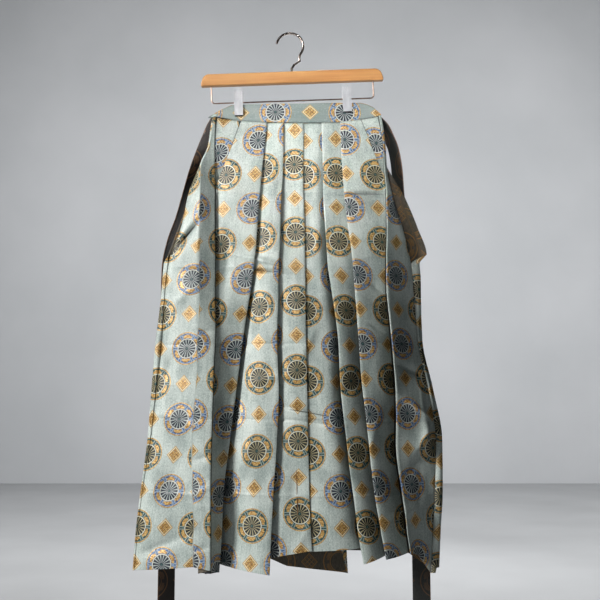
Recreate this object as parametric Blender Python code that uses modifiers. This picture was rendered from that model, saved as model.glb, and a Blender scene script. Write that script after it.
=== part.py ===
"""Hakama trousers on a clip hanger.

Metres, +Z up. The origin is the inside of the hook's crown, the wearer's front faces -Y, and +X is to
the right as seen from the front. The tables give millimetres, and each read turns them into metres.
"""
import math

import bmesh
import bpy
from mathutils import Matrix, Vector

MM = 0.001

# Cloth
CLOTH = 0.0012             # a single layer of brocade
SEAM_GAP = 0.0003          # between pieces that are sewn together
LAYER_AT_BAND = 0.0016     # spacing of folded layers where the waistband presses them flat
LAYER_BELOW = 0.0026       # and where they hang free
FREE_HEIGHT = -0.34        # from here down the layers hang free
UNDERLAP = 0.024           # the longest tuck behind the outer fold
SASA_TUCK = 0.022          # tuck behind the slanting fold
TUCK_SHARE = 0.62          # share of a pleat's face that is tucked behind its fold
CENTRE_TUCK_LEFT = 0.024   # centre front seam, from the centre fold
CENTRE_TUCK_RIGHT = 0.018
SASA_DIVE = 0.038          # distance over which the slanting fold sinks behind the strip
KNEE = 0.005               # where a face comes out from behind the fold over it, past its edge
SASA_KNEE = 0.006          # the same past the slanting fold
STRIP_TUCK_SHARE = 0.78    # most of the side strip's face that its tuck may fill
SASA_TUCK_SHARE = 0.45     # the same for the slanting fold
STRIP_BOW = 0.03           # how far the side strip bows forward, as a share of its width
BACK_TUCK = 0.012          # inner end of the centre back fold's tuck
ROUND_THE_SIDE = 0.012     # rounding where a back turns round the side
TIE_CLEARANCE = 0.0008     # a back tie hangs this far behind the cloth's faces
CROTCH = -0.62
STRAP_WIDTH = 0.036
STRAP = 0.0022             # a tie: brocade sewn double
TIE_END = -1.56            # the front ties' free ends
BACK_TIE_TOP = -0.1575
BACK_BAND_LOW_TOP = -0.1565  # the back band's upper edge is never lower than this, behind the ties
BACK_TIE_END = -1.045

# Waistband
BAND = 0.003
BAND_OFFSET = 0.00165      # middle of a band from the middle plane, under the clips
BAND_BOW = 0.0050          # how far each band bows out between the clips
BAND_SPREAD = 0.0028       # how far the back band stands off beyond the clips
BAND_STEP = 0.009          # length over which it does so
FRONT_BAND_REACH = (-0.168, 0.190)
BACK_BAND_REACH = (-0.160, 0.174)
BACK_BAND_RISE = 0.0008    # the back band stands this much higher
FOOT_LOW = (0.020, -0.1936)       # lowest point of the bands' lower edge
FOOT_RISE = {-1: 0.0125, 1: 0.0160}
FOOT_REACH = 0.165
FOOT_POWER = 2.5
LEFT_TIP = (-0.150, 0.13)         # where the lower edge turns down to the left tip, and its slope

# Hanger, in its own frame: the hook's crown is the origin, and the frame is turned by TILT
TILT = math.radians(-2.07)
MIDDLE = 0.002             # the stem and the middle of the bar from the crown
BAR_LENGTH = 0.380
BAR_TOP_LENGTH = 0.346
BAR_HEIGHT = 0.026
BAR_THICKNESS = 0.013
BAR_TOP = -0.0826
BAR_CHEEK = 0.010          # height of a bar's end below its rounded corner
BAR_EDGE = 0.0018          # rounding of its edges
HOOK_RADIUS = 0.028
HOOK_WIRE = 0.0025         # radius
HOOK_CENTRE = -HOOK_RADIUS + HOOK_WIRE
HOOK_TIP_ANGLE = 167       # degrees from +X toward +Z
HOOK_NECK_ANGLE = -36
NECK_RADIUS = 0.020
STEM_DROP = 0.016          # from the end of the neck to the straight stem
STEM_DEPTH = 0.006         # how deep the stem stands in the bar
WIRE_DEPTH = 0.008         # and the trapeze wire's ends
TRAPEZE_WIRE = 0.0015      # radius
TRAPEZE_HALF = 0.1686
TRAPEZE_DROP = -0.1450
TRAPEZE_CORNER = 0.007
CLIP_REACH = 0.1128        # clips from the middle
CLIP_WIDTH = 0.018
CLIP_TOP = -0.1177
CLIP_BOTTOM = -0.1735
CLIP_METAL = 0.0012
EAR_REACH = 0.0018         # a jaw's ears reach this far past the wire
SPRING_RADIUS = 0.0032
EAR_HALF = 0.0029          # half height of a jaw's ear
CLIP_PAD = 0.0014
PAD_INSET = 0.0006         # a pad is this much narrower than its jaw at each side
BITE_GAP = 0.0006          # from a pad to the band that it holds
PAD_HEIGHT = 0.009
PAD_DROP = 0.0022          # how far a pad shows below its jaw

# The waistband's upper edge along its length: distance to the right of the crown, then height
BAND_TOP_EDGE = ((-168, -180.6), (-145, -166), (-121, -154.5), (-105, -153.5), (20, -152.8),
                 (120, -149.5), (148, -149.5), (162, -153), (175, -160), (190, -174.4))

# Fronts: distance outward from the middle plane of the side edge, of the bend in the side strip and of
# each fold's edge, a row per height. Each fold faces the centre front, except the slanting sasahida.
ACROSS = ("z", "side", "bend", "outer", "sasa", "middle", "inner", "centre")
LEFT_ACROSS = (
    (-195, 160, 157, 153, 99, 46, 11, -29),
    (-240, 167, 164, 154, 116, 50, 12, -29),
    (-290, 186, 181, 153, 136, 55, 13, -28),
    (-340, 205, 181, 152, 154, 59, 15, -29),
    (-410, 219, 181, 151, 161, 65, 17.5, -31),
    (-485, 243, 180, 149, 160, 69.5, 19, -32),
    (-560, 250, 176, 148.5, 160, 79, 21, -33),
    (-640, 253, 181, 147, 158, 91, 23, -34),
    (-740, 262, 184, 148, 159, 104, 21, -36),
    (-840, 272, 187, 149, 160, 117, 23, -38),
    (-940, 286, 186, 149, 160, 127, 29, -40),
    (-1020, 294, 185, 149, 160, 130, 33, -43),
    (-1100, 298, 182, 148, 159, 134, 36, -45),
)
RIGHT_ACROSS = (
    (-195, 190, 188.5, 185.5, 147, 106, 67, 29),
    (-240, 198, 197, 193.5, 168, 107, 68, 29),
    (-290, 201, 200, 195, 187, 109, 69, 28),
    (-340, 211, 209, 198, 199, 112, 70, 29),
    (-410, 232, 224, 198, 206, 118, 73.5, 31),
    (-485, 249, 236, 195.5, 206, 126.5, 77.5, 32),
    (-560, 255, 241, 197.5, 208, 132.5, 87.5, 33),
    (-640, 260, 247, 203, 213, 138, 96, 34),
    (-740, 279, 258, 209, 219, 146, 102, 36),
    (-840, 292, 260, 208, 218, 155, 113, 38),
    (-940, 288, 256, 219, 229, 165, 125, 40),
    (-1020, 282, 252, 228, 238, 178, 134, 43),
    (-1100, 277, 250, 233, 243, 186, 143, 45),
)

# The same points' depth: negative is toward the viewer. Valley is the step beside each fold.
DEPTH = ("z", "side", "bend", "outer", "middle", "inner", "centre", "valley")
LEFT_DEPTH = (
    (-195, -4.4, -4.6, -4.9, -6.8, -7.8, -7.9, 0),
    (-240, -4.4, -6, -7, -10, -11.5, -11.5, 0.5),
    (-290, -5, -9, -9, -14, -14, -14, 1),
    (-340, -5, -13, -11, -17, -17, -17, 2),
    (-410, -5, -18, -14, -21, -20, -20, 2.5),
    (-485, -5, -22, -17, -25, -23, -23, 3),
    (-560, -5, -25, -20, -29, -26, -25, 4),
    (-640, -5, -28, -22, -33, -28, -27, 5),
    (-740, -5, -31, -25, -37, -31, -29, 6),
    (-840, -5, -33, -27, -40, -33, -31, 6),
    (-940, -5, -34, -28, -43, -35, -33, 6),
    (-1020, -5, -35, -29, -45, -37, -35, 6),
    (-1100, -5, -35, -29, -46, -38, -36, 6),
)
RIGHT_DEPTH = (
    (-195, -4.4, -4.5, -4.9, -5.2, -7.2, -7.9, 0),
    (-240, -3, -4, -6, -9, -10, -8, 0.5),
    (-290, 0, -3, -9, -13, -13, -11, 1),
    (-340, 4, -2, -13, -17, -16, -14, 2),
    (-410, 10, 0, -18, -21, -19, -17, 2.5),
    (-485, 16, 5, -24, -25, -22, -20, 3),
    (-560, 18, 7, -27, -29, -25, -22, 4),
    (-640, 16, 6, -29, -32, -27, -24, 5),
    (-740, 12, 0, -32, -35, -30, -26, 5),
    (-840, 10, -4, -34, -38, -32, -28, 5),
    (-940, 8, -8, -36, -41, -35, -30, 5),
    (-1020, 6, -12, -38, -43, -37, -32, 5),
    (-1100, 5, -14, -38, -44, -38, -33, 5),
)

# Height of the hem at each fold and just past it
HEM = ("side", "bend", "outer", "past_outer", "middle", "past_middle", "inner", "past_inner", "centre")
LEFT_HEM = (-1090, -1079, -1085, -1091, -1093, -1082, -1093.5, -1064, -1049)
RIGHT_HEM = (-1097.5, -1060, -1054, -1058, -1064, -1061.5, -1072.5, -1045, -1051)

# Backs: outermost reach of the side, depth of the turn round it, depth at the side and at the centre,
# reach of the centre fold to the right of the middle plane. Above the side opening nothing turns (0).
BACK = ("z", "reach", "turns", "rear_side", "rear_centre", "fold")
LEFT_BACK = (
    (-195, 150, 0, 4.6, 5.2, 45),
    (-240, 151, 0, 5.2, 6, 47),
    (-290, 172, 0, 6, 6.6, 49),
    (-340, 200, 0, 6, 7, 52),
    (-410, 226, 0, 6, 8, 57),
    (-465, 246, 0, 6, 8.7, 61),
    (-485, 254, 1, 6, 9, 62),
    (-510, 256, 1, 6.3, 9.6, 65),
    (-560, 259, 1, 6.7, 10.5, 70),
    (-640, 267, 1, 7, 12, 78),
    (-740, 274, 1, 7.5, 14, 88),
    (-840, 280, 1, 8, 16, 98),
    (-940, 291, 1, 8, 18, 106),
    (-1020, 299, 1, 8, 20, 112),
    (-1100, 303, 1, 8, 22, 116),
)
RIGHT_BACK = (
    (-195, 163, 0, 4.6, 5.2, 0),
    (-240, 180, 0, 8, 6, 0),
    (-290, 206, 0, 12, 6.6, 0),
    (-340, 236, 0, 17, 7, 0),
    (-410, 266, 0, 24, 8, 0),
    (-465, 284, 0, 29, 8.7, 0),
    (-485, 268, 1, 30, 9, 0),
    (-510, 270, 1, 31, 9.6, 0),
    (-560, 270, 1, 32, 10.5, 0),
    (-640, 271, 1, 30, 12, 0),
    (-740, 290, 1, 27, 14, 0),
    (-840, 306, 1, 24, 16, 0),
    (-940, 305, 1, 22, 18, 0),
    (-1020, 299, 1, 21, 20, 0),
    (-1100, 295, 1, 20, 22, 0),
)
# Hem of the backs, from the side to the centre: distance to the right, then height
LEFT_BACK_HEM = ((-303, -1091), (-150, -1080), (-40, -1072), (-5, -1088), (40, -1093), (116, -1101))
RIGHT_BACK_HEM = ((0, -1055), (140, -1057), (230, -1058), (262, -1080), (295, -1088))
BACK_TUCK_HEM = -1.057

# Front ties: height, reach of the outer edge, its depth, and the turn of the strap's face in degrees
TIE = ("z", "reach", "depth", "turn")
LEFT_TIE = (
    (-176, 160, 0.95, 0), (-195, 171, 1.2, 0), (-215, 179, 1.5, 0), (-240, 189, 2, 0), (-265, 198, 2, 15),
    (-290, 206, 2, 38), (-340, 219, 1, 68), (-390, 232, 1, 75), (-440, 249, 2, 76), (-490, 259, 6, 72),
    (-540, 261, 12, 66), (-600, 261, 19, 56), (-700, 260, 25, 44), (-850, 260, 31, 34), (-1100, 260, 37, 30),
    (-1330, 260, 38, 28), (-1560, 260, 38, 28),
)
RIGHT_TIE = (
    (-170, 182, 0.95, 0), (-196, 206, 1.2, 0), (-215, 215, 2, 0), (-240, 225, 4, 28),
    (-265, 231, 8, 46), (-290, 235, 13, 56), (-340, 239, 22, 58), (-390, 245, 31, 50), (-440, 252, 37, 44),
    (-490, 258, 41, 36), (-600, 269, 43, 20), (-740, 277, 43, 14), (-900, 281, 43, 10), (-1100, 282, 43, 8),
    (-1330, 282, 43, 8), (-1560, 283, 43, 9),
)
BACK_TIE_MIDDLE = {"left": -0.1385, "right": 0.1555}

GUSSET_ROWS = (-1.045, -1.0, -0.94, -0.84, -0.74, -0.67)
FRONT_ROWS = (-0.24, -0.29, -0.34, -0.41, -0.485, -0.56, -0.64, -0.74, -0.84, -0.94, -1.02)
BACK_ROWS = (-0.24, -0.29, -0.34, -0.41, -0.465, -0.485, -0.51, -0.56, -0.64, -0.74, -0.84, -0.94, -1.02)
TURN_ANGLES = (-90, -30, 30, 90)
REAR_SHARES = (0.1, 0.22, 0.34, 0.46, 0.58, 0.7, 0.85)
BAND_STATIONS = 36

BAND_FOOT = -0.195         # the tables' first row
HEM_ROW = -1.10            # and their last

HALVES = {
    "left": {"hand": -1, "across": LEFT_ACROSS, "depth": LEFT_DEPTH, "hem": LEFT_HEM, "back": LEFT_BACK},
    "right": {"hand": 1, "across": RIGHT_ACROSS, "depth": RIGHT_DEPTH, "hem": RIGHT_HEM, "back": RIGHT_BACK},
}

COLOURS = {
    "brocade": ((0.50, 0.57, 0.54), 0.55, 0.0),
    "tie": ((0.30, 0.33, 0.30), 0.6, 0.0),
    "wood": ((0.62, 0.36, 0.16), 0.45, 0.0),
    "steel": ((0.60, 0.58, 0.56), 0.25, 1.0),
    "rubber": ((0.02, 0.02, 0.02), 0.8, 0.0),
}


# ---- reading the tables ----

def along(points, x):
    """Height of an edge at x, straight between its points, all in millimetres there."""
    x = x / MM
    if x <= points[0][0]:
        return points[0][1] * MM
    for (x0, v0), (x1, v1) in zip(points, points[1:]):
        if x <= x1:
            return (v0 + (v1 - v0) * (x - x0) / (x1 - x0)) * MM
    return points[-1][1] * MM


def read(columns, rows, z, name):
    """One column of a table at height z, straight between its rows."""
    index = columns.index(name)
    return along([(row[0], row[index]) for row in reversed(rows)], z)


def layer_spacing(z):
    """Spacing of the folded layers' middle lines."""
    share = min(1.0, max(0.0, (z - BAND_FOOT) / (FREE_HEIGHT - BAND_FOOT)))
    return LAYER_AT_BAND + (LAYER_BELOW - LAYER_AT_BAND) * share


def clip_at_band(side):
    """Where a clip stands along the bands: the hanger's tilt carries it to the right there."""
    return MIDDLE + side * CLIP_REACH - (CLIP_BOTTOM + PAD_HEIGHT) * math.sin(-TILT)


def bow(x):
    """How far a band stands off its place at the clips, as it bows out between them."""
    left = clip_at_band(-1) + CLIP_WIDTH / 2 + MM
    right = clip_at_band(1) - CLIP_WIDTH / 2 - MM
    share = (x - left) / (right - left)
    if share <= 0 or share >= 1:
        return 0.0
    return BAND_BOW * math.sin(math.pi * share) ** 0.8


def spread(x):
    """How far the back band stands off beyond the clips, clear of the front ties."""
    grip = CLIP_WIDTH / 2 + 0.5 * MM
    beyond = max(clip_at_band(-1) - grip - x, x - clip_at_band(1) - grip, 0.0)
    return BAND_SPREAD * min(1.0, beyond / BAND_STEP)


def band_foot(x):
    """Lower edge of the bands: it sags between the hips and turns down at the left tip."""
    side = -1 if x < FOOT_LOW[0] else 1
    turn, slope = LEFT_TIP
    past = max(0.0, turn - x)
    reach = abs(x + past - FOOT_LOW[0]) / FOOT_REACH
    return FOOT_LOW[1] + FOOT_RISE[side] * reach ** FOOT_POWER - slope * past


# ---- sections of folded cloth ----

class Path:
    """Middle line of a folded layer in a level section: (m, y), its normal and its hem height.

    m runs toward the centre front and y toward the back.
    """

    def __init__(self):
        self.points = []

    def add(self, m, y, hem):
        self.points.append([m, y, None, hem])

    def fold(self, m, y, sense, span, hem, width=None):
        """A turn whose outermost point is m, from depth y to y + span."""
        radius = abs(span) / 2
        width = radius if width is None else width
        toward = 1 if sense * span > 0 else -1
        for degrees in TURN_ANGLES:
            angle = math.radians(degrees)
            outward = Vector((sense * math.cos(angle) / width, math.sin(angle) * 2 / span, 0)).normalized()
            self.points.append([m - sense * width + sense * width * math.cos(angle),
                                y + span / 2 + span / 2 * math.sin(angle), -toward * outward, hem])

    def walls(self, thickness):
        """The two faces of the wall about the middle line, as lists of (m, y, hem)."""
        near, far = [], []
        last = len(self.points) - 1
        for i, (m, y, normal, hem) in enumerate(self.points):
            if normal is None:
                before = self.points[max(i - 1, 0)]
                after = self.points[min(i + 1, last)]
                ahead = Vector((after[0] - m, after[1] - y, 0)).normalized() if i < last else Vector()
                behind = Vector((m - before[0], y - before[1], 0)).normalized() if i else Vector()
                run = (ahead + behind).normalized()
                normal = Vector((-run.y, run.x, 0))
            offset = normal * (thickness / 2)
            near.append((m - offset.x, y - offset.y, hem))
            far.append((m + offset.x, y + offset.y, hem))
        return near, far


def face_depth(knots, m):
    """Depth of a pleat's face at m, straight between its knots."""
    for (m0, y0), (m1, y1) in zip(knots, knots[1:]):
        if m <= m1:
            return y0 + (y1 - y0) * max(0.0, m - m0) / (m1 - m0)
    return knots[-1][1]


def pleat_face(start, knee, edge):
    """Knots of a face that starts flat behind a fold, steps out at the knee and rises to its own fold."""
    knots = [start, knee]
    for share, rise in ((0.4, 0.5), (0.75, 0.86)):
        knots.append((knee[0] + (edge[0] - knee[0]) * share, knee[1] + (edge[1] - knee[1]) * rise))
    return knots + [edge]


def fold_edge(half, z, name):
    """Place of a fold's edge in the section at height z, as (m, y)."""
    return (-read(ACROSS, half["across"], z, name), read(DEPTH, half["depth"], z, name))


def face_after(half, z, fold, edge):
    """The face that comes out from behind a fold and runs to the point edge."""
    m, y = fold_edge(half, z, fold)
    behind = y + 2 * layer_spacing(z)
    knee = (m + KNEE, behind + read(DEPTH, half["depth"], z, "valley"))
    return pleat_face((m - MM, behind), knee, edge)


def front_path(half, z):
    """A front's layers in the section at height z, from the side edge to the centre front seam."""
    hem = {name: value * MM for name, value in zip(HEM, half["hem"])}
    step = layer_spacing(z)
    path = Path()

    # the side strip, its bend and its fold, which lies on top
    strip = [fold_edge(half, z, name) for name in ("side", "bend", "outer")]
    (side, side_y), (bend, bend_y), (outer, outer_y) = strip
    path.add(side, side_y, hem["side"])
    bowed = (side_y + bend_y) / 2 - STRIP_BOW * (bend - side)
    path.add((side + bend) / 2, bowed, (hem["side"] + hem["bend"]) / 2)
    path.add(bend, bend_y, hem["bend"])
    path.fold(outer, outer_y, 1, step, hem["outer"])

    # behind it the slanting sasahida fold, which the strip covers further down
    past = hem["past_outer"]
    sasa = -read(ACROSS, half["across"], z, "sasa")
    dive = min(1.0, max(0.0, 1 - (sasa - outer) / SASA_DIVE))
    turn_m = outer - min(UNDERLAP, STRIP_TUCK_SHARE * (outer - bend))
    turn_y = face_depth(strip, turn_m) + step
    path.fold(turn_m, turn_y, -1, (1 + 2 * dive) * step, past, width=step / 2)
    start_y = outer_y + 2 * dive * step
    knee = (max(outer, sasa) + SASA_KNEE, start_y + dive * read(DEPTH, half["depth"], z, "valley"))
    face = pleat_face((sasa, start_y), knee, fold_edge(half, z, "middle"))
    sasa_end = max(sasa + min(SASA_TUCK, SASA_TUCK_SHARE * (face[-1][0] - sasa)), knee[0] + 2 * MM)
    path.add((turn_m + sasa) / 2, (turn_y + (1 + 2 * dive) * step + start_y + 2 * step) / 2, past)
    path.add(sasa, start_y + 2 * step, past)
    path.add(knee[0], knee[1] + 2 * step, past)
    path.fold(sasa_end, face_depth(face, sasa_end) + 2 * step, 1, -step, past)
    path.add(knee[0], knee[1] + step, past)
    path.fold(sasa, start_y + step, -1, -step, past)

    # the folds that face the centre front
    folds = ["middle", "inner"]
    ends = [fold_edge(half, z, "inner"), fold_edge(half, z, "centre")]
    if half["hand"] > 0:
        ends[1] = under_centre_fold(z)
    for name, end in zip(folds, ends):
        run_to_fold(path, face, past, hem[name])
        edge = face[-1]
        path.fold(edge[0], edge[1], 1, step, hem[name])
        past = hem["past_" + name]
        tuck = TUCK_SHARE * (edge[0] - face[-4][0])
        turn_m = edge[0] - tuck
        half_way = edge[0] - tuck / 2
        path.add(half_way, face_depth(face, half_way) + step, (hem[name] + past) / 2)
        path.fold(turn_m, face_depth(face, turn_m) + step, -1, step, past)
        path.add(half_way, face_depth(face, half_way) + 2 * step, past)
        face = face_after(half, z, name, end)
        path.add(face[0][0], face[0][1], past)
    run_to_fold(path, face, past, hem["centre"])
    if half["hand"] < 0:
        # the left front's fold at the centre, on top of the right front
        path.fold(*face[-1], 1, step, hem["centre"])
        for share in (0.5, 1.0):
            m = face[-1][0] - CENTRE_TUCK_LEFT * share
            path.add(m, face_depth(face, m) + step, hem["centre"])
    else:
        path.add(*face[-1], hem["centre"])
        path.add(centre_end("right", z), centre_seam_depth(z), hem["centre"])
    return path


def run_to_fold(path, face, hem_start, hem_end):
    """The visible part of a face, up to its fold."""
    for share, knot in zip((0, 0.4, 0.75), face[-4:-1]):
        path.add(*knot, hem_start + (hem_end - hem_start) * share)


def centre_tuck_depth(z, x):
    """Depth of the layer tucked behind the left front's centre fold."""
    half = HALVES["left"]
    face = face_after(half, z, "inner", fold_edge(half, z, "centre"))
    return face_depth(face, x) + layer_spacing(z)


def centre_seam_depth(z):
    """Depth of the right front's edge, sewn to the back of that tuck."""
    return centre_tuck_depth(z, -centre_end("right", z)) + CLOTH + SEAM_GAP + 0.1 * MM


def under_centre_fold(z):
    """Where the right front passes under the left front's centre fold."""
    x, y = fold_edge(HALVES["left"], z, "centre")
    return (-x, y + 2 * layer_spacing(z))


def back_value(name, z, column):
    return read(BACK, HALVES[name]["back"], z, column)


def right_rear(x, z):
    """Depth of the right back at x: the left back's centre fold lies behind it."""
    reach = back_value("right", z, "reach")
    side = back_value("right", z, "rear_side")
    centre = back_value("right", z, "rear_centre")
    end = -centre_end("right", z)
    return centre + (side - centre) * (x - end) / (reach - end)


def rear_knots(name, z):
    """The outer layer of a back across the rear, from the side to the centre."""
    start = (-back_value(name, z, "reach"), back_value(name, z, "rear_side"))
    centre = (centre_end(name, z), back_value(name, z, "rear_centre"))
    if name == "right":
        return [start, centre]
    step = layer_spacing(z)
    fold = back_value(name, z, "fold")
    return [start, (centre[0], centre[1] + CLOTH + SEAM_GAP + step), (fold, right_rear(fold, z) + 2 * step)]


def back_path(name, z):
    """A back's layers in the section at height z, from the side seam to the centre back."""
    half = HALVES[name]
    turns = back_value(name, z, "turns") / MM
    knots = rear_knots(name, z)
    reach, rear_side = knots[0]
    seam, seam_y = fold_edge(half, z, "side")
    bend, bend_y = fold_edge(half, z, "bend")
    slope = abs(bend_y - seam_y) / math.hypot(bend - seam, bend_y - seam_y)
    seam -= SEAM_GAP + CLOTH / 2 * slope
    hem_table = LEFT_BACK_HEM if name == "left" else RIGHT_BACK_HEM

    def hem_at(m):
        return along(hem_table, -m * half["hand"])

    # round the side: from the seam on the front, out to the side and along the rear
    width = 0.7 * min(abs(seam - reach), ROUND_THE_SIDE)
    span = rear_side - seam_y
    closed = [(seam, seam_y), ((seam + reach) / 2, seam_y)]
    for degrees in (-60, 0, 60):
        angle = math.radians(degrees)
        closed.append((reach + width - width * math.cos(angle),
                       seam_y + span / 2 + span / 2 * math.sin(angle)))
    path = Path()
    for i, (m, y) in enumerate(closed):
        open_m = reach + 2.5 * MM * i
        open_y = face_depth(knots, open_m)
        hem = half["hem"][0] * MM if i < 2 else hem_at(reach)
        path.add(open_m + (m - open_m) * turns, open_y + (y - open_y) * turns, hem)
    centre = knots[1][0]
    for share in REAR_SHARES:
        m = reach + (centre - reach) * share
        path.add(m, face_depth(knots, m), hem_at(m))
    path.add(*knots[1], hem_at(centre))
    if name == "left":
        # the centre back fold, whose tuck lies inside
        fold, fold_y = knots[2]
        step = layer_spacing(z)
        path.fold(fold, fold_y, 1, -step, hem_at(fold))
        path.add(fold - BACK_TUCK, right_rear(fold - BACK_TUCK, z) + step, BACK_TUCK_HEM)
        path.add(centre, back_value(name, z, "rear_centre") + CLOTH + SEAM_GAP, BACK_TUCK_HEM)
    return path


def centre_end(name, z):
    """Where a front or a back ends at the centre, along m: the inner leg seams hang from there."""
    centre = fold_edge(HALVES["left"], z, "centre")[0]
    if name == "left":
        return centre - CENTRE_TUCK_LEFT
    return -(centre - CENTRE_TUCK_RIGHT)


# ---- from sections to solids ----

def new_object(name, bm, material, smooth=True):
    bmesh.ops.recalc_face_normals(bm, faces=bm.faces)
    if bm.calc_volume(signed=True) < 0:
        bmesh.ops.reverse_faces(bm, faces=bm.faces)
    mesh = bpy.data.meshes.new(name)
    bm.to_mesh(mesh)
    bm.free()
    item = bpy.data.objects.new(name, mesh)
    mesh.materials.append(MATERIALS[material])
    if smooth:
        mesh.shade_smooth()
        mesh.set_sharp_from_angle(angle=math.radians(40))
    PARTS.objects.link(item)
    return item


def loft_wall(name, sections, material):
    """A wall lofted through sections, each a pair of equal lists: the near face and the far face."""
    bm = bmesh.new()
    rings = [[[bm.verts.new(p) for p in face] for face in section] for section in sections]
    for (near0, far0), (near1, far1) in zip(rings, rings[1:]):
        for i in range(len(near0) - 1):
            # both faces are cut along the same diagonal, so a twisted wall keeps its thickness
            rising = (near0[i].co - near1[i + 1].co).length < (near1[i].co - near0[i + 1].co).length
            for low, high in ((near0, near1), (far0, far1)):
                a, b, c, d = low[i], low[i + 1], high[i + 1], high[i]
                for corners in ((a, b, c), (a, c, d)) if rising else ((a, b, d), (b, c, d)):
                    bm.faces.new(corners)
        for end in (0, -1):
            bm.faces.new((near0[end], far0[end], far1[end], near1[end]))
    for near, far in (rings[0], rings[-1]):
        for i in range(len(near) - 1):
            bm.faces.new((near[i], near[i + 1], far[i + 1], far[i]))
    return new_object(name, bm, material)


def level_section(path, hand, z=None):
    """Both faces of a path's wall in space; without z it is the hem row, at each point's own height."""
    faces = []
    for face in path.walls(CLOTH):
        faces.append([Vector((-hand * m, y, hem if z is None else z)) for m, y, hem in face])
    return faces


def top_section(path, hand, rise=0.0):
    """The row under the waistband: it follows the band's lower edge."""
    faces = []
    for face in path.walls(CLOTH):
        row = []
        for m, y, hem in face:
            x = -hand * m
            row.append(Vector((x, y, band_foot(x) + rise - SEAM_GAP)))
        faces.append(row)
    return faces


def front(name):
    half = HALVES[name]
    sections = [top_section(front_path(half, BAND_FOOT), half["hand"])]
    sections += [level_section(front_path(half, z), half["hand"], z) for z in FRONT_ROWS]
    sections.append(level_section(front_path(half, HEM_ROW), half["hand"]))
    return loft_wall("front_" + name, sections, "brocade")


def back(name):
    hand = HALVES[name]["hand"]
    sections = [top_section(back_path(name, BAND_FOOT), hand, BACK_BAND_RISE)]
    sections += [level_section(back_path(name, z), hand, z) for z in BACK_ROWS]
    sections.append(level_section(back_path(name, HEM_ROW), hand))
    return loft_wall("back_" + name, sections, "brocade")


def crotch_gusset():
    """The inner leg pieces: two walls from the fronts to the backs that meet over the crotch."""
    gap = CLOTH / 2 + SEAM_GAP
    stations = []

    def limits(name, z):
        rear = back_value("right", z, "rear_centre")
        if name == "left":
            return centre_tuck_depth(z, centre_end("left", z)) + gap, rear + SEAM_GAP - gap + CLOTH
        return centre_seam_depth(z) + gap, rear - gap

    for z in GUSSET_ROWS:
        stations.append((Vector((centre_end("left", z), 0, z)), *limits("left", z)))
    x0 = centre_end("left", CROTCH)
    x1 = -centre_end("right", CROTCH)
    radius = (x1 - x0) / 2
    near = max(limits("left", CROTCH)[0], limits("right", CROTCH)[0])
    far = min(limits("left", CROTCH)[1], limits("right", CROTCH)[1])
    for degrees in range(180, -1, -36):
        angle = math.radians(degrees)
        point = Vector((x0 + radius + radius * math.cos(angle), 0, CROTCH + radius * math.sin(angle)))
        stations.append((point, near, far))
    for z in reversed(GUSSET_ROWS):
        stations.append((Vector((-centre_end("right", z), 0, z)), *limits("right", z)))

    sections = []
    for i, (point, y0, y1) in enumerate(stations):
        before = stations[max(i - 1, 0)][0]
        after = stations[min(i + 1, len(stations) - 1)][0]
        run = (after - before).normalized()
        offset = Vector((run.z, 0, -run.x)) * (CLOTH / 2)
        sections.append([[Vector((p.x, y0, p.z)), Vector((p.x, y1, p.z))]
                         for p in (point - offset, point + offset)])
    return loft_wall("crotch_gusset", sections, "brocade")


def waistband(name, reach, middle_depth, rise):
    """A band through sections across its length; its edges follow the tables."""
    first, last = reach
    places = [first + (last - first) * i / BAND_STATIONS for i in range(BAND_STATIONS + 1)]
    places += [x * MM for x, _ in BAND_TOP_EDGE if first < x * MM < last]
    sections = []
    for x in sorted(places + [LEFT_TIP[0]]):
        y = middle_depth(x)
        low = band_foot(x) + rise
        high = along(BAND_TOP_EDGE, x) + rise
        if name == "waistband_back":
            high = max(high, BACK_BAND_LOW_TOP + rise)
        sections.append([[Vector((x, y - BAND / 2, low)), Vector((x, y - BAND / 2, high))],
                         [Vector((x, y + BAND / 2, low)), Vector((x, y + BAND / 2, high))]])
    return loft_wall(name, sections, "brocade")


def front_band_depth(x):
    return -BAND_OFFSET - bow(x)


def back_band_depth(x):
    return BAND_OFFSET + bow(x) + spread(x)


def strap(name, stations):
    """A tie through stations from the top down, each its outer edge and its inner edge."""
    sections = []
    for i, (outer, inner) in enumerate(stations):
        across = (inner - outer).normalized()
        before = stations[max(i - 1, 0)]
        after = stations[min(i + 1, len(stations) - 1)]
        run = (sum(after, Vector()) - sum(before, Vector())).normalized()
        offset = across.cross(run).normalized() * (STRAP / 2)
        sections.append([[outer - offset, inner - offset], [outer + offset, inner + offset]])
    return loft_wall(name, sections[::-1], "tie")


def front_tie(name):
    hand = HALVES[name]["hand"]
    stations = []
    for row in LEFT_TIE if name == "left" else RIGHT_TIE:
        place = dict(zip(TIE, row))
        angle = math.radians(place["turn"])
        outer = Vector((hand * place["reach"], place["depth"], place["z"])) * MM
        width = Vector((-hand * math.cos(angle), math.sin(angle), 0)) * STRAP_WIDTH
        stations.append((outer, outer + width))
    return strap("tie_front_" + name, stations)


def back_tie(name):
    """Sewn on the back band's outer face near its end, it hangs down behind the back."""
    middle = BACK_TIE_MIDDLE[name]
    sides = (middle - STRAP_WIDTH / 2, middle + STRAP_WIDTH / 2)
    band = BAND / 2 + max(back_band_depth(x) for x in sides)
    stations = []
    for z in (BACK_TIE_TOP, band_foot(middle)) + BACK_ROWS[:-1] + (BACK_TIE_END,):
        station = []
        for x in sides:
            if z > BACK_ROWS[0]:
                behind = band
            else:
                cloth = face_depth(rear_knots(name, z), -HALVES[name]["hand"] * x)
                behind = cloth + CLOTH / 2 + TIE_CLEARANCE
            station.append(Vector((x, behind + SEAM_GAP + STRAP / 2, z)))
        stations.append(station)
    return strap("tie_back_" + name, stations)


# ---- the hanger ----

def hung(item):
    item.parent = HANGER
    return item


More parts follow.
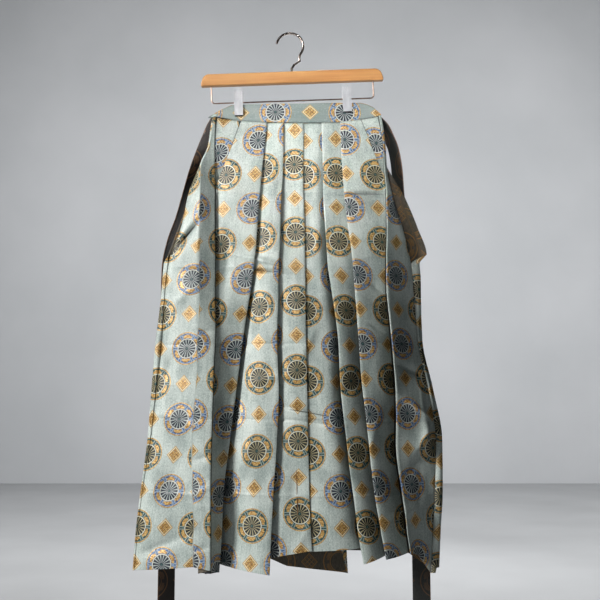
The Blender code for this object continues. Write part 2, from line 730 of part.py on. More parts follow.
def wire(name, points, radius, material):
    curve = bpy.data.curves.new(name, "CURVE")
    curve.dimensions = "3D"
    curve.bevel_depth = radius
    curve.bevel_resolution = 2
    curve.use_fill_caps = True
    spline = curve.splines.new("POLY")
    spline.points.add(len(points) - 1)
    for target, (x, z) in zip(spline.points, points):
        target.co = (x, 0, z, 1)
    item = bpy.data.objects.new(name, curve)
    curve.materials.append(MATERIALS[material])
    PARTS.objects.link(item)
    return hung(item)


def arc(centre, radius, first, last, count):
    """Points on an arc in the hanger's plane, angles in degrees from +X toward +Z."""
    points = []
    for i in range(count + 1):
        angle = math.radians(first + (last - first) * i / count)
        points.append((centre[0] + radius * math.cos(angle), centre[1] + radius * math.sin(angle)))
    return points


def hook():
    """From the tip over the crown and round the right side, then back through the neck into the stem."""
    crown = arc((0, HOOK_CENTRE), HOOK_RADIUS, HOOK_TIP_ANGLE, HOOK_NECK_ANGLE, 24)
    angle = math.radians(HOOK_NECK_ANGLE)
    neck_centre = [place + NECK_RADIUS * part
                   for place, part in zip(crown[-1], (math.cos(angle), math.sin(angle)))]
    # the neck turns the other way, past straight down, and eases over to the stem
    neck = arc(neck_centre, NECK_RADIUS, HOOK_NECK_ANGLE + 180, 196, 6)[1:]
    neck_x, neck_z = neck[-1]
    stem_top = neck_z - STEM_DROP
    ease = (MIDDLE + 0.3 * (neck_x - MIDDLE), neck_z - STEM_DROP / 2)
    return wire("hook", crown + neck + [ease, (MIDDLE, stem_top), (MIDDLE, BAR_TOP - STEM_DEPTH)],
                HOOK_WIRE, "steel")


def trapeze():
    """The wire that carries the clips: its ends stand in the bar."""
    left = MIDDLE - TRAPEZE_HALF
    right = MIDDLE + TRAPEZE_HALF
    foot = BAR_TOP - BAR_HEIGHT
    low = TRAPEZE_DROP + TRAPEZE_CORNER
    points = [(left, foot + WIRE_DEPTH), (left, foot - 0.006)]
    points += arc((left + TRAPEZE_CORNER, low), TRAPEZE_CORNER, 180, 270, 5)
    points += arc((right - TRAPEZE_CORNER, low), TRAPEZE_CORNER, 270, 360, 5)
    points += [(right, foot - 0.006), (right, foot + WIRE_DEPTH)]
    return wire("trapeze_wire", points, TRAPEZE_WIRE, "steel")


def bar_outline():
    """Rounded upper corners over a straight foot, from the left foot round to the right foot."""
    foot = BAR_TOP - BAR_HEIGHT
    half = BAR_LENGTH / 2
    shoulder = (BAR_LENGTH - BAR_TOP_LENGTH) / 2
    points = [(-half, foot), (-half, foot + 0.7 * BAR_CHEEK)]
    for degrees in (150, 130, 110, 90):
        angle = math.radians(degrees)
        points.append((-half + shoulder + (shoulder - 2 * MM) * math.cos(angle),
                       foot + BAR_CHEEK + (BAR_HEIGHT - BAR_CHEEK) * math.sin(angle)))
    points += [(-x, z) for x, z in reversed(points)]
    return [(MIDDLE + x, z) for x, z in points]


def bar():
    bm = bmesh.new()
    outline = bar_outline()
    front_face = [bm.verts.new((x, -BAR_THICKNESS / 2, z)) for x, z in outline]
    back_face = [bm.verts.new((x, BAR_THICKNESS / 2, z)) for x, z in outline]
    bm.faces.new(front_face)
    bm.faces.new(back_face)
    for i in range(len(outline)):
        j = (i + 1) % len(outline)
        bm.faces.new((front_face[i], front_face[j], back_face[j], back_face[i]))
    item = new_object("hanger_bar", bm, "wood")
    bevel = item.modifiers.new("rounded_edges", "BEVEL")
    bevel.width = BAR_EDGE
    bevel.segments = 2
    bevel.limit_method = "ANGLE"
    for hole in bar_holes():
        cut = item.modifiers.new(hole.name, "BOOLEAN")
        cut.object = hole
        cut.operation = "DIFFERENCE"
    return hung(item)


def bar_holes():
    """Blind holes for the stem and for the wire's ends, a gap wider and deeper than the wires."""
    foot = BAR_TOP - BAR_HEIGHT
    gap = SEAM_GAP
    past = 10 * MM
    holes = [("stem_hole", MIDDLE, BAR_TOP - STEM_DEPTH - gap, BAR_TOP + past, HOOK_WIRE + gap)]
    for name, side in (("wire_hole_left", -1), ("wire_hole_right", 1)):
        holes.append((name, MIDDLE + side * TRAPEZE_HALF, foot - past, foot + WIRE_DEPTH + gap,
                      TRAPEZE_WIRE + gap))
    cutters = []
    for name, x, low, high, radius in holes:
        bpy.ops.mesh.primitive_cylinder_add(vertices=12, radius=radius, depth=high - low,
                                            location=(x, 0, (low + high) / 2))
        cutters.append(cutter(bpy.context.object, name))
    return cutters


def cutter(item, name):
    """Moves an object to the cutters' collection and hangs it from the hanger."""
    for collection in list(item.users_collection):
        collection.objects.unlink(item)
    CUTTERS.objects.link(item)
    item.name = name
    item.hide_render = True
    item.display_type = "WIRE"
    return hung(item)


def block(name, low, high, material):
    """A box between two corners in the hanger's frame."""
    bm = bmesh.new()
    bmesh.ops.create_cube(bm, size=1.0)
    size = [abs(b - a) for a, b in zip(low, high)]
    middle = [(a + b) / 2 for a, b in zip(low, high)]
    bmesh.ops.transform(bm, matrix=Matrix.Translation(middle) @ Matrix.Diagonal((*size, 1)), verts=bm.verts)
    return hung(new_object(name, bm, material, smooth=False))


def jaw(name, centre, face, outward, ear_inset):
    """A plate with an ear at each side, and the wire runs through both ears.

    In plan it is a U. The ears are short: they stand only beside the wire.
    """
    back_face = face + outward * CLIP_METAL
    item = block(name, (centre - CLIP_WIDTH / 2, face, CLIP_BOTTOM),
                 (centre + CLIP_WIDTH / 2, back_face, CLIP_TOP), "steel")
    ear_centre = CLIP_WIDTH / 2 - ear_inset - CLIP_METAL / 2
    for label, side in (("left", -1), ("right", 1)):
        x = centre + side * ear_centre
        root = (x - CLIP_METAL / 2, face + outward * CLIP_METAL / 3, TRAPEZE_DROP - EAR_HALF)
        tip = (x + CLIP_METAL / 2, -outward * (TRAPEZE_WIRE + EAR_REACH), TRAPEZE_DROP + EAR_HALF)
        ear = block(name + "_ear_" + label, root, tip, "steel")
        join(item, ear, "UNION")
    bore = cylinder_tool(name + "_bore", centre, TRAPEZE_WIRE + SEAM_GAP, CLIP_WIDTH + 4 * MM)
    join(item, bore, "DIFFERENCE")
    return item


def cylinder_tool(name, centre, radius, length):
    bpy.ops.mesh.primitive_cylinder_add(vertices=12, radius=radius, depth=length,
                                        location=(centre, 0, TRAPEZE_DROP), rotation=(0, math.pi / 2, 0))
    tool = bpy.context.object
    tool.name = name
    return tool


def join(item, tool, operation):
    """Adds a Boolean whose tool moves to the cutters' collection."""
    cutter(tool, tool.name)
    modifier = item.modifiers.new(tool.name, "BOOLEAN")
    modifier.object = tool
    modifier.operation = operation


def clip(name, side):
    """Two jaws on the trapeze wire, a rubber pad inside each and the spring between the ears."""
    centre = MIDDLE + side * CLIP_REACH
    cloth_face = BAND_OFFSET + BAND / 2 + BITE_GAP
    pad_out = cloth_face + CLIP_PAD
    for label, outward, inset in (("front", -1, 0.0), ("back", 1, CLIP_METAL + SEAM_GAP)):
        jaw("clip_%s_jaw_%s" % (name, label), centre, outward * (pad_out + SEAM_GAP), outward, inset)
        half = CLIP_WIDTH / 2 - PAD_INSET
        low = CLIP_BOTTOM - PAD_DROP
        block("clip_%s_pad_%s" % (name, label), (centre - half, outward * cloth_face, low),
              (centre + half, outward * pad_out, low + PAD_HEIGHT), "rubber")
    bm = bmesh.new()
    length = CLIP_WIDTH / 2
    along_wire = Matrix.Translation((centre, 0, TRAPEZE_DROP)) @ Matrix.Rotation(math.pi / 2, 4, "Y")
    bmesh.ops.create_cone(bm, cap_ends=True, segments=12, radius1=SPRING_RADIUS, radius2=SPRING_RADIUS,
                          depth=length, matrix=along_wire)
    spring = hung(new_object("clip_%s_spring" % name, bm, "steel"))
    join(spring, cylinder_tool("clip_%s_spring_bore" % name, centre, TRAPEZE_WIRE + SEAM_GAP, length * 2),
         "DIFFERENCE")


# ---- the build ----

def material(name):
    colour, roughness, metallic = COLOURS[name]
    item = bpy.data.materials.new(name)
    item.use_nodes = True
    shader = item.node_tree.nodes["Principled BSDF"]
    shader.inputs["Base Color"].default_value = (*colour, 1)
    shader.inputs["Roughness"].default_value = roughness
    shader.inputs["Metallic"].default_value = metallic
    return item


for existing in list(bpy.data.objects):
    bpy.data.objects.remove(existing, do_unlink=True)

PARTS = bpy.data.collections.new("hakama_on_clip_hanger")
CUTTERS = bpy.data.collections.new("cutters")
for group in (PARTS, CUTTERS):
    bpy.context.scene.collection.children.link(group)
MATERIALS = {name: material(name) for name in COLOURS}
HANGER = bpy.data.objects.new("hanger", None)
HANGER.rotation_euler = (0, TILT, 0)
PARTS.objects.link(HANGER)

bar()
hook()
trapeze()
clip("left", -1)
clip("right", 1)
waistband("waistband_front", FRONT_BAND_REACH, front_band_depth, 0.0)
waistband("waistband_back", BACK_BAND_REACH, back_band_depth, BACK_BAND_RISE)
for half_name in HALVES:
    front(half_name)
    back(half_name)
    front_tie(half_name)
    back_tie(half_name)
crotch_gusset()
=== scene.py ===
"""Hakama trousers on a clip hanger: the folded cloth, its brocade, the ties and the hanger.

Metres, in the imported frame: +Z up, the origin inside the hook's crown, the wearer's front toward -Y.
Tables are in millimetres, the same as the solids', and each read turns them into metres.
"""
import bisect
import math

import bmesh
import bpy
import numpy as np
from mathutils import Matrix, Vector


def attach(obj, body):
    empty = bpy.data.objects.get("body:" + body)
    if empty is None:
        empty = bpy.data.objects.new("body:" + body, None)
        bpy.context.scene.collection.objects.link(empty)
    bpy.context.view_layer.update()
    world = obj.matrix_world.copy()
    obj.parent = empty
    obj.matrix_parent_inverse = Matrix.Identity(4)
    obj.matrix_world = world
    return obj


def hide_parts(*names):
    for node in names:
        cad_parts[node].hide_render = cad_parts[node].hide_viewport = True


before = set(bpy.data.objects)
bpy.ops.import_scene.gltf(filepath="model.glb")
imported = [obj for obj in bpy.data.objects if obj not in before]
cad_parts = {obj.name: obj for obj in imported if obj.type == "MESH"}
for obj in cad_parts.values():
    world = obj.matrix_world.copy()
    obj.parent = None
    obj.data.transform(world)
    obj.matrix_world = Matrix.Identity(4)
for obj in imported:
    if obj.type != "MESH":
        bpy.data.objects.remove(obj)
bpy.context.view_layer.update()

MM = 0.001

# Cloth
CLOTH = 0.0012  # a single layer of brocade
SEAM_GAP = 0.0003  # between pieces that are sewn together
LAYER_AT_BAND = 0.0016  # spacing of folded layers where the waistband presses them flat
LAYER_BELOW = 0.0026  # and where they hang free
FREE_HEIGHT = -0.34  # from here down the layers hang free
UNDERLAP = 0.024  # the longest tuck behind the outer fold
SASA_TUCK = 0.022  # tuck behind the slanting fold
TUCK_SHARE = 0.62  # share of a pleat's face that is tucked behind its fold
CENTRE_TUCK_LEFT = 0.024  # centre front seam, from the centre fold
CENTRE_TUCK_RIGHT = 0.018
SASA_DIVE = 0.038  # distance over which the slanting fold sinks behind the strip
KNEE = -0.001  # a face has stepped back by here, behind the edge of the fold over it
VALLEY_TUCK = 0.010  # and starts to step back this far behind that edge
VALLEY_SHARE = 0.6  # of the tuck there, at most
STRIP_TUCK_SHARE = 0.78  # most of the side strip's face that its tuck may fill
SASA_TUCK_SHARE = 0.45  # the same for the slanting fold
STRIP_BOW = 0.03  # how far the side strip bows forward, as a share of its width
BACK_TUCK = 0.012  # inner end of the centre back fold's tuck
ROUND_THE_SIDE = 0.012  # rounding where a back turns round the side
ROUND_SHARE = 0.7  # of the reach there, at most
OPEN_STRETCH = 0.010  # above the opening the points of that turn lie this far along the rear
SEAM_EASE = 0.0001  # between the right front's edge and the tuck it is sewn to
CROTCH = -0.62
STRAP_WIDTH = 0.036
STRAP = 0.0022  # a tie: brocade sewn double
BACK_TIE_TOP = {"left": -0.1735, "right": -0.1575}
BACK_BAND_LOW_TOP = -0.1565  # the back band's upper edge is never lower than this, behind the ties
BACK_TIE_END = -1.045
BACK_TIE_FREE = 0.03  # over the last stretch it doesn't follow the cloth's rows

# Waistband
BAND = 0.003
BAND_OFFSET = 0.00165  # middle of a band from the middle plane, under the clips
BAND_BOW = 0.0050  # how far each band bows out between the clips
BAND_SPREAD = 0.0028  # how far the back band stands off beyond the clips
BAND_STEP = 0.009  # length over which it does so
BOW_MARGIN = 0.001  # the bow starts this far from a clip
BOW_POWER = 0.8
GRIP_MARGIN = 0.0005  # and the back band stands off from here
FRONT_BAND_REACH = (-0.168, 0.190)
BACK_BAND_REACH = (-0.160, 0.174)
BACK_BAND_RISE = 0.0008  # the back band stands this much higher
FOOT_LOW = (0.020, -0.1936)  # lowest point of the bands' lower edge
FOOT_RISE = {-1: 0.0125, 1: 0.0160}
FOOT_REACH = 0.165
FOOT_POWER = 2.5
LEFT_TIP = (-0.150, 0.13)  # where the lower edge turns down to the left tip, and its slope

# Hanger, in its own frame: the hook's crown is the origin, and the frame is turned by TILT
TILT = math.radians(-2.07)
MIDDLE = 0.002  # the stem and the middle of the bar from the crown
BAR_LENGTH = 0.380
BAR_TOP_LENGTH = 0.346
BAR_HEIGHT = 0.026
BAR_THICKNESS = 0.013
BAR_TOP = -0.0826
BAR_CHEEK = 0.010  # height of a bar's end below its rounded corner
CHEEK_SHARE = 0.7  # of that height, straight
CORNER_ANGLES = (160, 90)  # the corner's arc, in degrees
CORNER_INSET = 0.002
HOOK_RADIUS = 0.028
HOOK_WIRE = 0.0025  # radius
HOOK_CENTRE = -HOOK_RADIUS + HOOK_WIRE
HOOK_TIP_ANGLE = 167  # degrees from +X toward +Z
HOOK_NECK_ANGLE = -36
HOOK_STEPS = 60
NECK_RADIUS = 0.020
NECK_END_ANGLE = 196
NECK_STEPS = 14
STEM_EASE = 0.3  # how far the neck's end still stands aside halfway down to the stem
STEM_DROP = 0.016  # from the end of the neck to the straight stem
STEM_DEPTH = 0.006  # how deep the stem stands in the bar
WIRE_DEPTH = 0.008  # and the trapeze wire's ends
TRAPEZE_WIRE = 0.0015  # radius
TRAPEZE_HALF = 0.1686
TRAPEZE_DROP = -0.1450
TRAPEZE_CORNER = 0.007
TRAPEZE_STEPS = 12  # round each of its corners
TRAPEZE_EXIT = 0.006  # straight below the bar
CLIP_REACH = 0.1128  # clips from the middle
CLIP_WIDTH = 0.018
CLIP_TOP = -0.1177
CLIP_BOTTOM = -0.1735
CLIP_METAL = 0.0012
EAR_REACH = 0.0018  # a jaw's ears reach this far past the wire
SPRING_RADIUS = 0.0032
EAR_HALF = 0.0029  # half height of a jaw's ear
CLIP_PAD = 0.0014
PAD_INSET = 0.0006  # a pad is this much narrower than its jaw at each side
BITE_GAP = 0.0006  # from a pad to the band that it holds
PAD_HEIGHT = 0.009
PAD_DROP = 0.0022  # how far a pad shows below its jaw

# The waistband's upper edge along its length: distance to the right of the crown, then height
BAND_TOP_EDGE = ((-168, -180.6), (-145, -166), (-121, -154.5), (-105, -153.5), (20, -152.8),
                 (120, -149.5), (148, -149.5), (162, -153), (175, -160), (190, -174.4))

# Fronts: distance outward from the middle plane of the side edge, of the bend in the side strip and of
# each fold's edge, a row per height. Each fold faces the centre front, except the slanting sasahida.
ACROSS = ("z", "side", "bend", "outer", "sasa", "middle", "inner", "centre")
LEFT_ACROSS = (
    (-195, 160, 157, 153, 99, 46, 11, -29),
    (-240, 167, 164, 154, 116, 50, 12, -29),
    (-290, 186, 181, 153, 136, 55, 13, -28),
    (-340, 205, 181, 152, 154, 59, 15, -29),
    (-410, 219, 181, 151, 161, 65, 17.5, -31),
    (-485, 243, 180, 149, 160, 69.5, 19, -32),
    (-560, 250, 176, 148.5, 160, 79, 21, -33),
    (-640, 253, 181, 147, 158, 91, 23, -34),
    (-740, 262, 184, 148, 159, 104, 21, -36),
    (-840, 272, 187, 149, 160, 117, 23, -38),
    (-940, 286, 186, 149, 160, 127, 29, -40),
    (-1020, 294, 185, 149, 160, 130, 33, -43),
    (-1100, 298, 182, 148, 159, 134, 36, -45),
)
RIGHT_ACROSS = (
    (-195, 190, 188.5, 185.5, 147, 106, 67, 29),
    (-240, 198, 197, 193.5, 168, 107, 68, 29),
    (-290, 201, 200, 195, 187, 109, 69, 28),
    (-340, 211, 209, 198, 199, 112, 70, 29),
    (-410, 232, 224, 198, 206, 118, 73.5, 31),
    (-485, 249, 236, 195.5, 206, 126.5, 77.5, 32),
    (-560, 255, 241, 197.5, 208, 132.5, 87.5, 33),
    (-640, 260, 247, 203, 213, 138, 96, 34),
    (-740, 279, 258, 209, 219, 146, 102, 36),
    (-840, 292, 260, 208, 218, 155, 113, 38),
    (-940, 288, 256, 219, 229, 165, 125, 40),
    (-1020, 282, 252, 228, 238, 178, 134, 43),
    (-1100, 277, 250, 233, 243, 186, 143, 45),
)

# The same points' depth: negative is toward the viewer. A valley is the step beside a fold, where the
# next face starts.
DEPTH = ("z", "side", "bend", "outer", "middle", "inner", "centre", "valley_outer", "valley_middle",
         "valley_inner")
LEFT_DEPTH = (
    (-195, -4.4, -4.6, -4.9, -6.8, -7.8, -7.9, 0, 0, 0),
    (-240, -4.4, -10, -7, -10, -11.5, -11.5, 0.5, 0.5, 0.5),
    (-290, -5, -18, -9, -14, -14, -14, 1, 1, 1),
    (-340, -5, -24, -11, -17, -17, -17, 2, 2, 2),
    (-410, -5, -28, -14, -19, -20, -20, 3, 3, 2.5),
    (-485, -5, -28, -17, -18, -23, -23, 2, 4, 3),
    (-560, -5, -29, -21, -15, -26, -25, 1, 6, 4),
    (-640, -5, -31, -26, -12, -28, -27, 0, 8, 5),
    (-740, -5, -31, -33, -12, -31, -29, 0, 9, 6),
    (-840, -5, -33, -38, -13, -33, -31, 0, 10, 7),
    (-940, -5, -34, -42, -14, -35, -33, 0, 13, 7),
    (-1020, -5, -35, -44, -15, -37, -35, 0, 16, 8),
    (-1100, -5, -35, -44, -16, -38, -36, 0, 18, 8),
)
RIGHT_DEPTH = (
    (-195, -4.4, -4.5, -4.9, -5.2, -7.2, -7.9, 0, 0, 0),
    (-240, -3, -4, -6, -9, -10, -8, 0.5, 0.5, 0.5),
    (-290, 0, -3, -9, -13, -13, -11, 1, 1, 1),
    (-340, 4, -2, -13, -17, -16, -14, 3, 3, 3),
    (-410, 10, 0, -18, -21, -19, -17, 7, 6, 6),
    (-485, 16, 5, -24, -25, -22, -20, 13, 11, 10),
    (-560, 18, 7, -27, -29, -25, -22, 20, 16, 14),
    (-640, 16, 6, -29, -32, -27, -24, 25, 20, 16),
    (-740, 12, 0, -32, -35, -30, -26, 28, 22, 16),
    (-840, 10, -4, -34, -38, -32, -28, 28, 23, 16),
    (-940, 8, -8, -36, -41, -35, -30, 28, 24, 17),
    (-1020, 6, -12, -38, -43, -37, -32, 28, 24, 18),
    (-1100, 5, -14, -38, -44, -38, -33, 28, 24, 18),
)

# Height of the hem at each fold and just past it
HEM = ("side", "bend", "outer", "past_outer", "middle", "past_middle", "inner", "past_inner", "centre")
LEFT_HEM = (-1090, -1079, -1085, -1091, -1093, -1082, -1093.5, -1064, -1049)
RIGHT_HEM = (-1097.5, -1060, -1054, -1058, -1064, -1061.5, -1072.5, -1045, -1051)

# Backs: outermost reach of the side, depth at the side and at the centre, and reach of the centre fold to
# the right of the middle plane.
BACK = ("z", "reach", "rear_side", "rear_centre", "fold")
OPENING_ENDS = (-0.485, -0.465)  # below the first height the backs turn round the side, above the other not
LEFT_BACK = (
    (-195, 150, 4.6, 5.2, 45),
    (-240, 151, 5.2, 6, 47),
    (-290, 172, 6, 6.6, 49),
    (-340, 200, 6, 7, 52),
    (-410, 226, 6, 8, 57),
    (-465, 246, 6, 8.7, 61),
    (-485, 254, 6, 9, 62),
    (-510, 256, 6.3, 9.6, 65),
    (-560, 259, 6.7, 10.5, 70),
    (-640, 267, 7, 12, 78),
    (-740, 274, 7.5, 14, 88),
    (-840, 280, 8, 16, 98),
    (-940, 291, 8, 18, 106),
    (-1020, 299, 8, 20, 112),
    (-1100, 303, 8, 22, 116),
)
RIGHT_BACK = (
    (-195, 163, 4.6, 5.2, 0),
    (-240, 180, 8, 6, 0),
    (-290, 206, 12, 6.6, 0),
    (-340, 236, 17, 7, 0),
    (-410, 266, 24, 8, 0),
    (-465, 284, 29, 8.7, 0),
    (-485, 268, 30, 9, 0),
    (-510, 270, 31, 9.6, 0),
    (-560, 270, 32, 10.5, 0),
    (-640, 271, 30, 12, 0),
    (-740, 290, 27, 14, 0),
    (-840, 306, 24, 16, 0),
    (-940, 305, 22, 18, 0),
    (-1020, 299, 21, 20, 0),
    (-1100, 295, 20, 22, 0),
)
# Hem of the backs, from the side to the centre: distance to the right, then height
LEFT_BACK_HEM = ((-303, -1091), (-150, -1080), (-40, -1072), (-5, -1088), (40, -1093), (116, -1101))
RIGHT_BACK_HEM = ((0, -1055), (140, -1057), (230, -1058), (262, -1080), (295, -1088))
BACK_TUCK_HEM = -1.057

# Front ties: height, reach of the outer edge, its depth, and the turn of the strap's face in degrees
TIE = ("z", "reach", "depth", "turn")
LEFT_TIE = (
    (-176, 160, 0.95, 0), (-195, 171, 1.2, 0), (-215, 179, 1.5, 0), (-240, 189, 2, 0), (-265, 198, 2, 15),
    (-290, 206, 2, 38), (-340, 219, 1, 68), (-390, 232, 1, 75), (-440, 249, 2, 76), (-490, 259, 6, 72),
    (-540, 261, 12, 66), (-600, 261, 19, 56), (-700, 260, 25, 44), (-850, 260, 31, 34), (-1100, 260, 37, 30),
    (-1330, 260, 38, 28), (-1560, 260, 38, 28),
)
RIGHT_TIE = (
    (-170, 182, 0.95, 0), (-196, 206, 1.2, 38), (-215, 215, 2, 58), (-240, 225, 4, 62),
    (-265, 231, 8, 60), (-290, 235, 13, 58), (-340, 239, 22, 58), (-390, 245, 31, 50), (-440, 252, 37, 44),
    (-490, 258, 41, 36), (-600, 269, 43, 20), (-740, 277, 43, 14), (-900, 281, 43, 10), (-1100, 282, 43, 8),
    (-1330, 282, 43, 8), (-1560, 283, 43, 9),
)
BACK_TIE_MIDDLE = {"left": -0.1385, "right": 0.1555}

BAND_FOOT = -0.195  # the tables' first row
HEM_ROW = -1.10  # and their last


# ---- what only the scene has ----

# How finely the cloth is drawn
ROW_STEP = 0.004
FIRST_LEVEL = -0.24  # above this row the sections ease up to the band
LAST_LEVEL = -1.02  # and below this one down to the hem
FOLD_STEPS = 6  # round a fold that shows
TUCK_STEPS = 3  # round and along one that doesn't
STRIP_STEPS = 12
FACE_STEPS = 14
REAR_STEPS = 40
UNDER_SHARES = (0.05, 0.3, 0.6, 0.9)  # points under the sasahida where it shows beside the outer fold
HIDDEN_SHARES = (0.5, 0.95)  # and where that fold hides it
LEAST_SHARE = 0.1  # of that stretch, for either part
UNDER_MARGIN = 0.0005  # it shows from this far past the outer fold's edge
KNEE_SHARES = (0.012, 0.03)  # points on a face just past its knee
STEP_SHARES = (0.0, 0.3, 0.5, 0.7, 1.0)  # and on its way out from behind the fold over it
SIDE_ANGLES = (-75, -50, -25, 0, 25, 50, 75)  # of the points round a back's side, in degrees
FACE_CURL = 1.5  # how a face rises to its fold: steep behind the fold over it, level at its own
DEEP_CURL = {(1, "inner"): 3.4, (1, "middle"): 1.9, (-1, "middle"): 1.8}
CROWNS = {(1, "inner"): 0.007}  # how far a face swells forward near the fold over it
CROWN_FALL = 0.30  # below the band, over which the swell grows
CROWN_SCALE = 9.48  # the swell's curve reaches 1 at a quarter of the face
FOLD_WIDTH = 0.0006  # how far a pressed fold's edge rounds out
CENTRE_STEP = 0.0018  # thickness of the folded left front at the centre fold
BAND_TUCK = 0.0028  # the cloth sinks this much under the band's lower edge
BAND_TUCK_REACH = 0.003
FINE_STEP = 0.0017  # rows closer together near the band and the sharp creases: height and reach
FINE_ZONES = ((-195, 8), (-345, 10), (-441, 36), (-502, 14), (-652, 8), (-793, 20), (-946, 8))
CLOTH_DRAWN = 0.0009
SIDE_EASE = 0.020  # the relief starts this far from the side seams
TOP_EASE = 0.030  # and below the band

# Waver of each fold's edge: height of the place, its spread and how far the edge moves, in millimetres
WAVER = {
    (-1, "bend"): ((-560, 45, -3.0), (-700, 40, 2.0), (-860, 50, -2.0), (-1000, 40, 2.5)),
    (-1, "outer"): ((-620, 60, 1.5), (-900, 60, -1.0)),
    (-1, "middle"): ((-420, 40, 1.2), (-600, 50, -1.2), (-830, 60, 1.4)),
    (-1, "inner"): ((-500, 40, -1.4), (-760, 60, 1.5)),
    (1, "inner"): ((-380, 40, 1.2), (-650, 60, -1.6), (-900, 50, 1.2)),
    (1, "middle"): ((-460, 50, -1.2), (-720, 50, 1.5)),
    (1, "outer"): ((-540, 50, 1.8), (-800, 60, -1.6)),
}

# Waves in the cloth's depth: height in metres, turns across and down in radians a metre, and phase
WAVES = (
    (0.0016, 31.0, 9.0, 0.4), (0.0011, 74.0, -7.0, 1.9), (0.0012, 18.0, 42.0, 0.7), (0.0007, 96.0, 27.0, 2.6),
    (0.0005, 44.0, 88.0, 1.2),
)
WAVES_AT_BAND = 0.25  # share of them at the band
WAVES_GROW = 0.5  # below it, over which they grow to their full height
BACK_WAVES = ((0.0016, 24.0, 8.0, 0.9), (0.0009, 61.0, -9.0, 2.2), (0.0007, 15.0, 40.0, 0.1))

# The marks of its folding for storage: height, slope across, relief and width
FOLD_MARKS = (
    (-344, 0.010, -1.4, 3), (-500, -0.012, 1.8, 4), (-652, 0.008, -1.6, 3), (-802, -0.014, -1.6, 3),
    (-946, -0.010, 1.8, 4),
)

BACK_MARKS = 0.7  # how strong they are on the backs, where they turn the other way

# Creases listed one by one: place, height, half length, direction in degrees, width and relief
CREASES = (
    # the opening's edge on the left, and the hollow beside the outer fold below it
    (-214, -438, 46, 48, 4, -13), (-128, -500, 60, 88, 14, -9.5),
    # across the right front, sharp, and the pair across the centre
    (156, -345, 42, 2, 2.2, -8.5), (150, -354, 44, 1, 4, 3), (-58, -484, 36, -14, 3.4, 10),
    (-50, -505, 36, -10, 2.6, -8), (40, -787, 48, -15, 2, -4.6), (50, -797, 42, -13, 3, 3),
    (46, -807, 42, -8, 2.2, -3.4),
    # small ones on the side strip of the left front
    (-166, -629, 16, 2, 3.4, -3.6), (-166, -874, 16, 14, 3.4, -3.6), (-166, -936, 18, 24, 3.4, 3.4),
    (-170, -966, 14, -16, 3.4, 3.4), (-168, -1045, 15, 10, 3.4, -3.4),
    # diagonals beside the folds of the right front
    (174, -539, 13, -33, 3.4, -4.4), (175, -622, 19, -27, 3.4, -4.4), (235, -700, 24, -20, 6, -4.4),
    (140, -560, 22, -30, 5, 3),
    # the bulge in the right side strip
    (258, -782, 46, -35, 18, 15), (262, -712, 38, -20, 14, -10), (255, -870, 44, 60, 14, -8),
    (268, -838, 36, 58, 16, 20),
    # soft folds low on the left, and slack in the faces
    (-249, -1043, 55, 24, 10, -8.5), (-215, -560, 36, 40, 11, 4.5), (-240, -930, 46, 62, 13, -6),
    (-225, -800, 44, -18, 10, 4.4), (-235, -690, 44, 66, 10, -4), (-105, -1020, 75, 84, 20, -11),
    (-110, -430, 36, -25, 8, 3.4), (-30, -720, 38, 12, 7, 3.4), (10, -930, 46, 78, 10, -3.6),
    (100, -900, 42, -8, 7, 3.4), (225, -980, 46, 25, 11, 5), (-85, -870, 44, 70, 10, 4),
    (150, -480, 30, 18, 6, 3.4), (-60, -620, 42, 66, 9, -4), (60, -430, 44, 80, 10, 3.6),
    (-112, -290, 30, -50, 8, 2.8), (165, -270, 26, 35, 7, -2.6), (-20, -330, 30, 72, 6, -2.4),
    (45, -640, 40, 64, 8, 3.4), (120, -740, 36, 40, 8, -3.6), (30, -1020, 44, 62, 9, 4.4),
    (165, -830, 40, 74, 8, 3.4),
)
# Folds that close over themselves: place, height, half length, direction in degrees, half width and shade
CLOSED_CREASES = (
    (-214, -439.5, 46, 48, 3, 1.0), (156, -345.5, 40, 2, 1.6, 0.75), (-50, -505, 22, -10, 1.6, 0.75),
    (40, -788, 44, -10, 1.6, 0.75),
)
SHARP_WIDTH = 5  # creases narrower than this, in millimetres, are pressed in harder
SHARP_GAIN = 1.35
CREASE_ROUND = 0.0006  # how round a crease's line is

# The woven pattern: columns and rows of the lattice, and the motifs' sizes
LATTICE_X = 0.060
LATTICE_Z = 0.070
ROUNDEL_RADIUS = 0.0328
THREAD_SOFTNESS = 0.00025  # how soft the motifs' lines are
RING = 0.60  # outer edge of the white ring round the wheel, as a share of the radius
LOZENGE_X = 0.0165
LOZENGE_Z = 0.0175
DIAMOND = 0.48  # pitch of the diamonds in a lozenge, as a share of its size
WEFT = 0.0008

# A roundel's parts, from and to a share of its radius, and its angles in degrees, with how soft they end
OUTLINE = (0.935, 1.0)
INNER_LINE = (0.905, 0.93)
BLOCK_FOOT = (RING + 0.03, 0.78)
BLOCK_HEAD = (0.77, 0.84)
BLOCK_PITCH = 60.0
FOOT_ANGLE = (21.5, 1.2)
HEAD_ANGLE = (12.0, 1.2)
TICK = (RING, 0.90)
TICK_ANGLES = (23.5, 26.5, 1.0)
WHITE_RING = (RING - 0.045, RING)
SPOKE = (0.10, 0.54)
SPOKE_PITCH = 22.5
SPOKE_GAP = (7.8, 0.9)
HUB = 0.07

# A lozenge's parts, as shares of its size, and of its diamonds' pitch
LOZENGE_FRAME = (0.87, 1.0)
LOZENGE_FIELD = 0.74
LOZENGE_SOFTNESS = 0.03
GROOVE = (DIAMOND * 0.41, 0.02)
DOT = (DIAMOND * 0.20, 0.03)

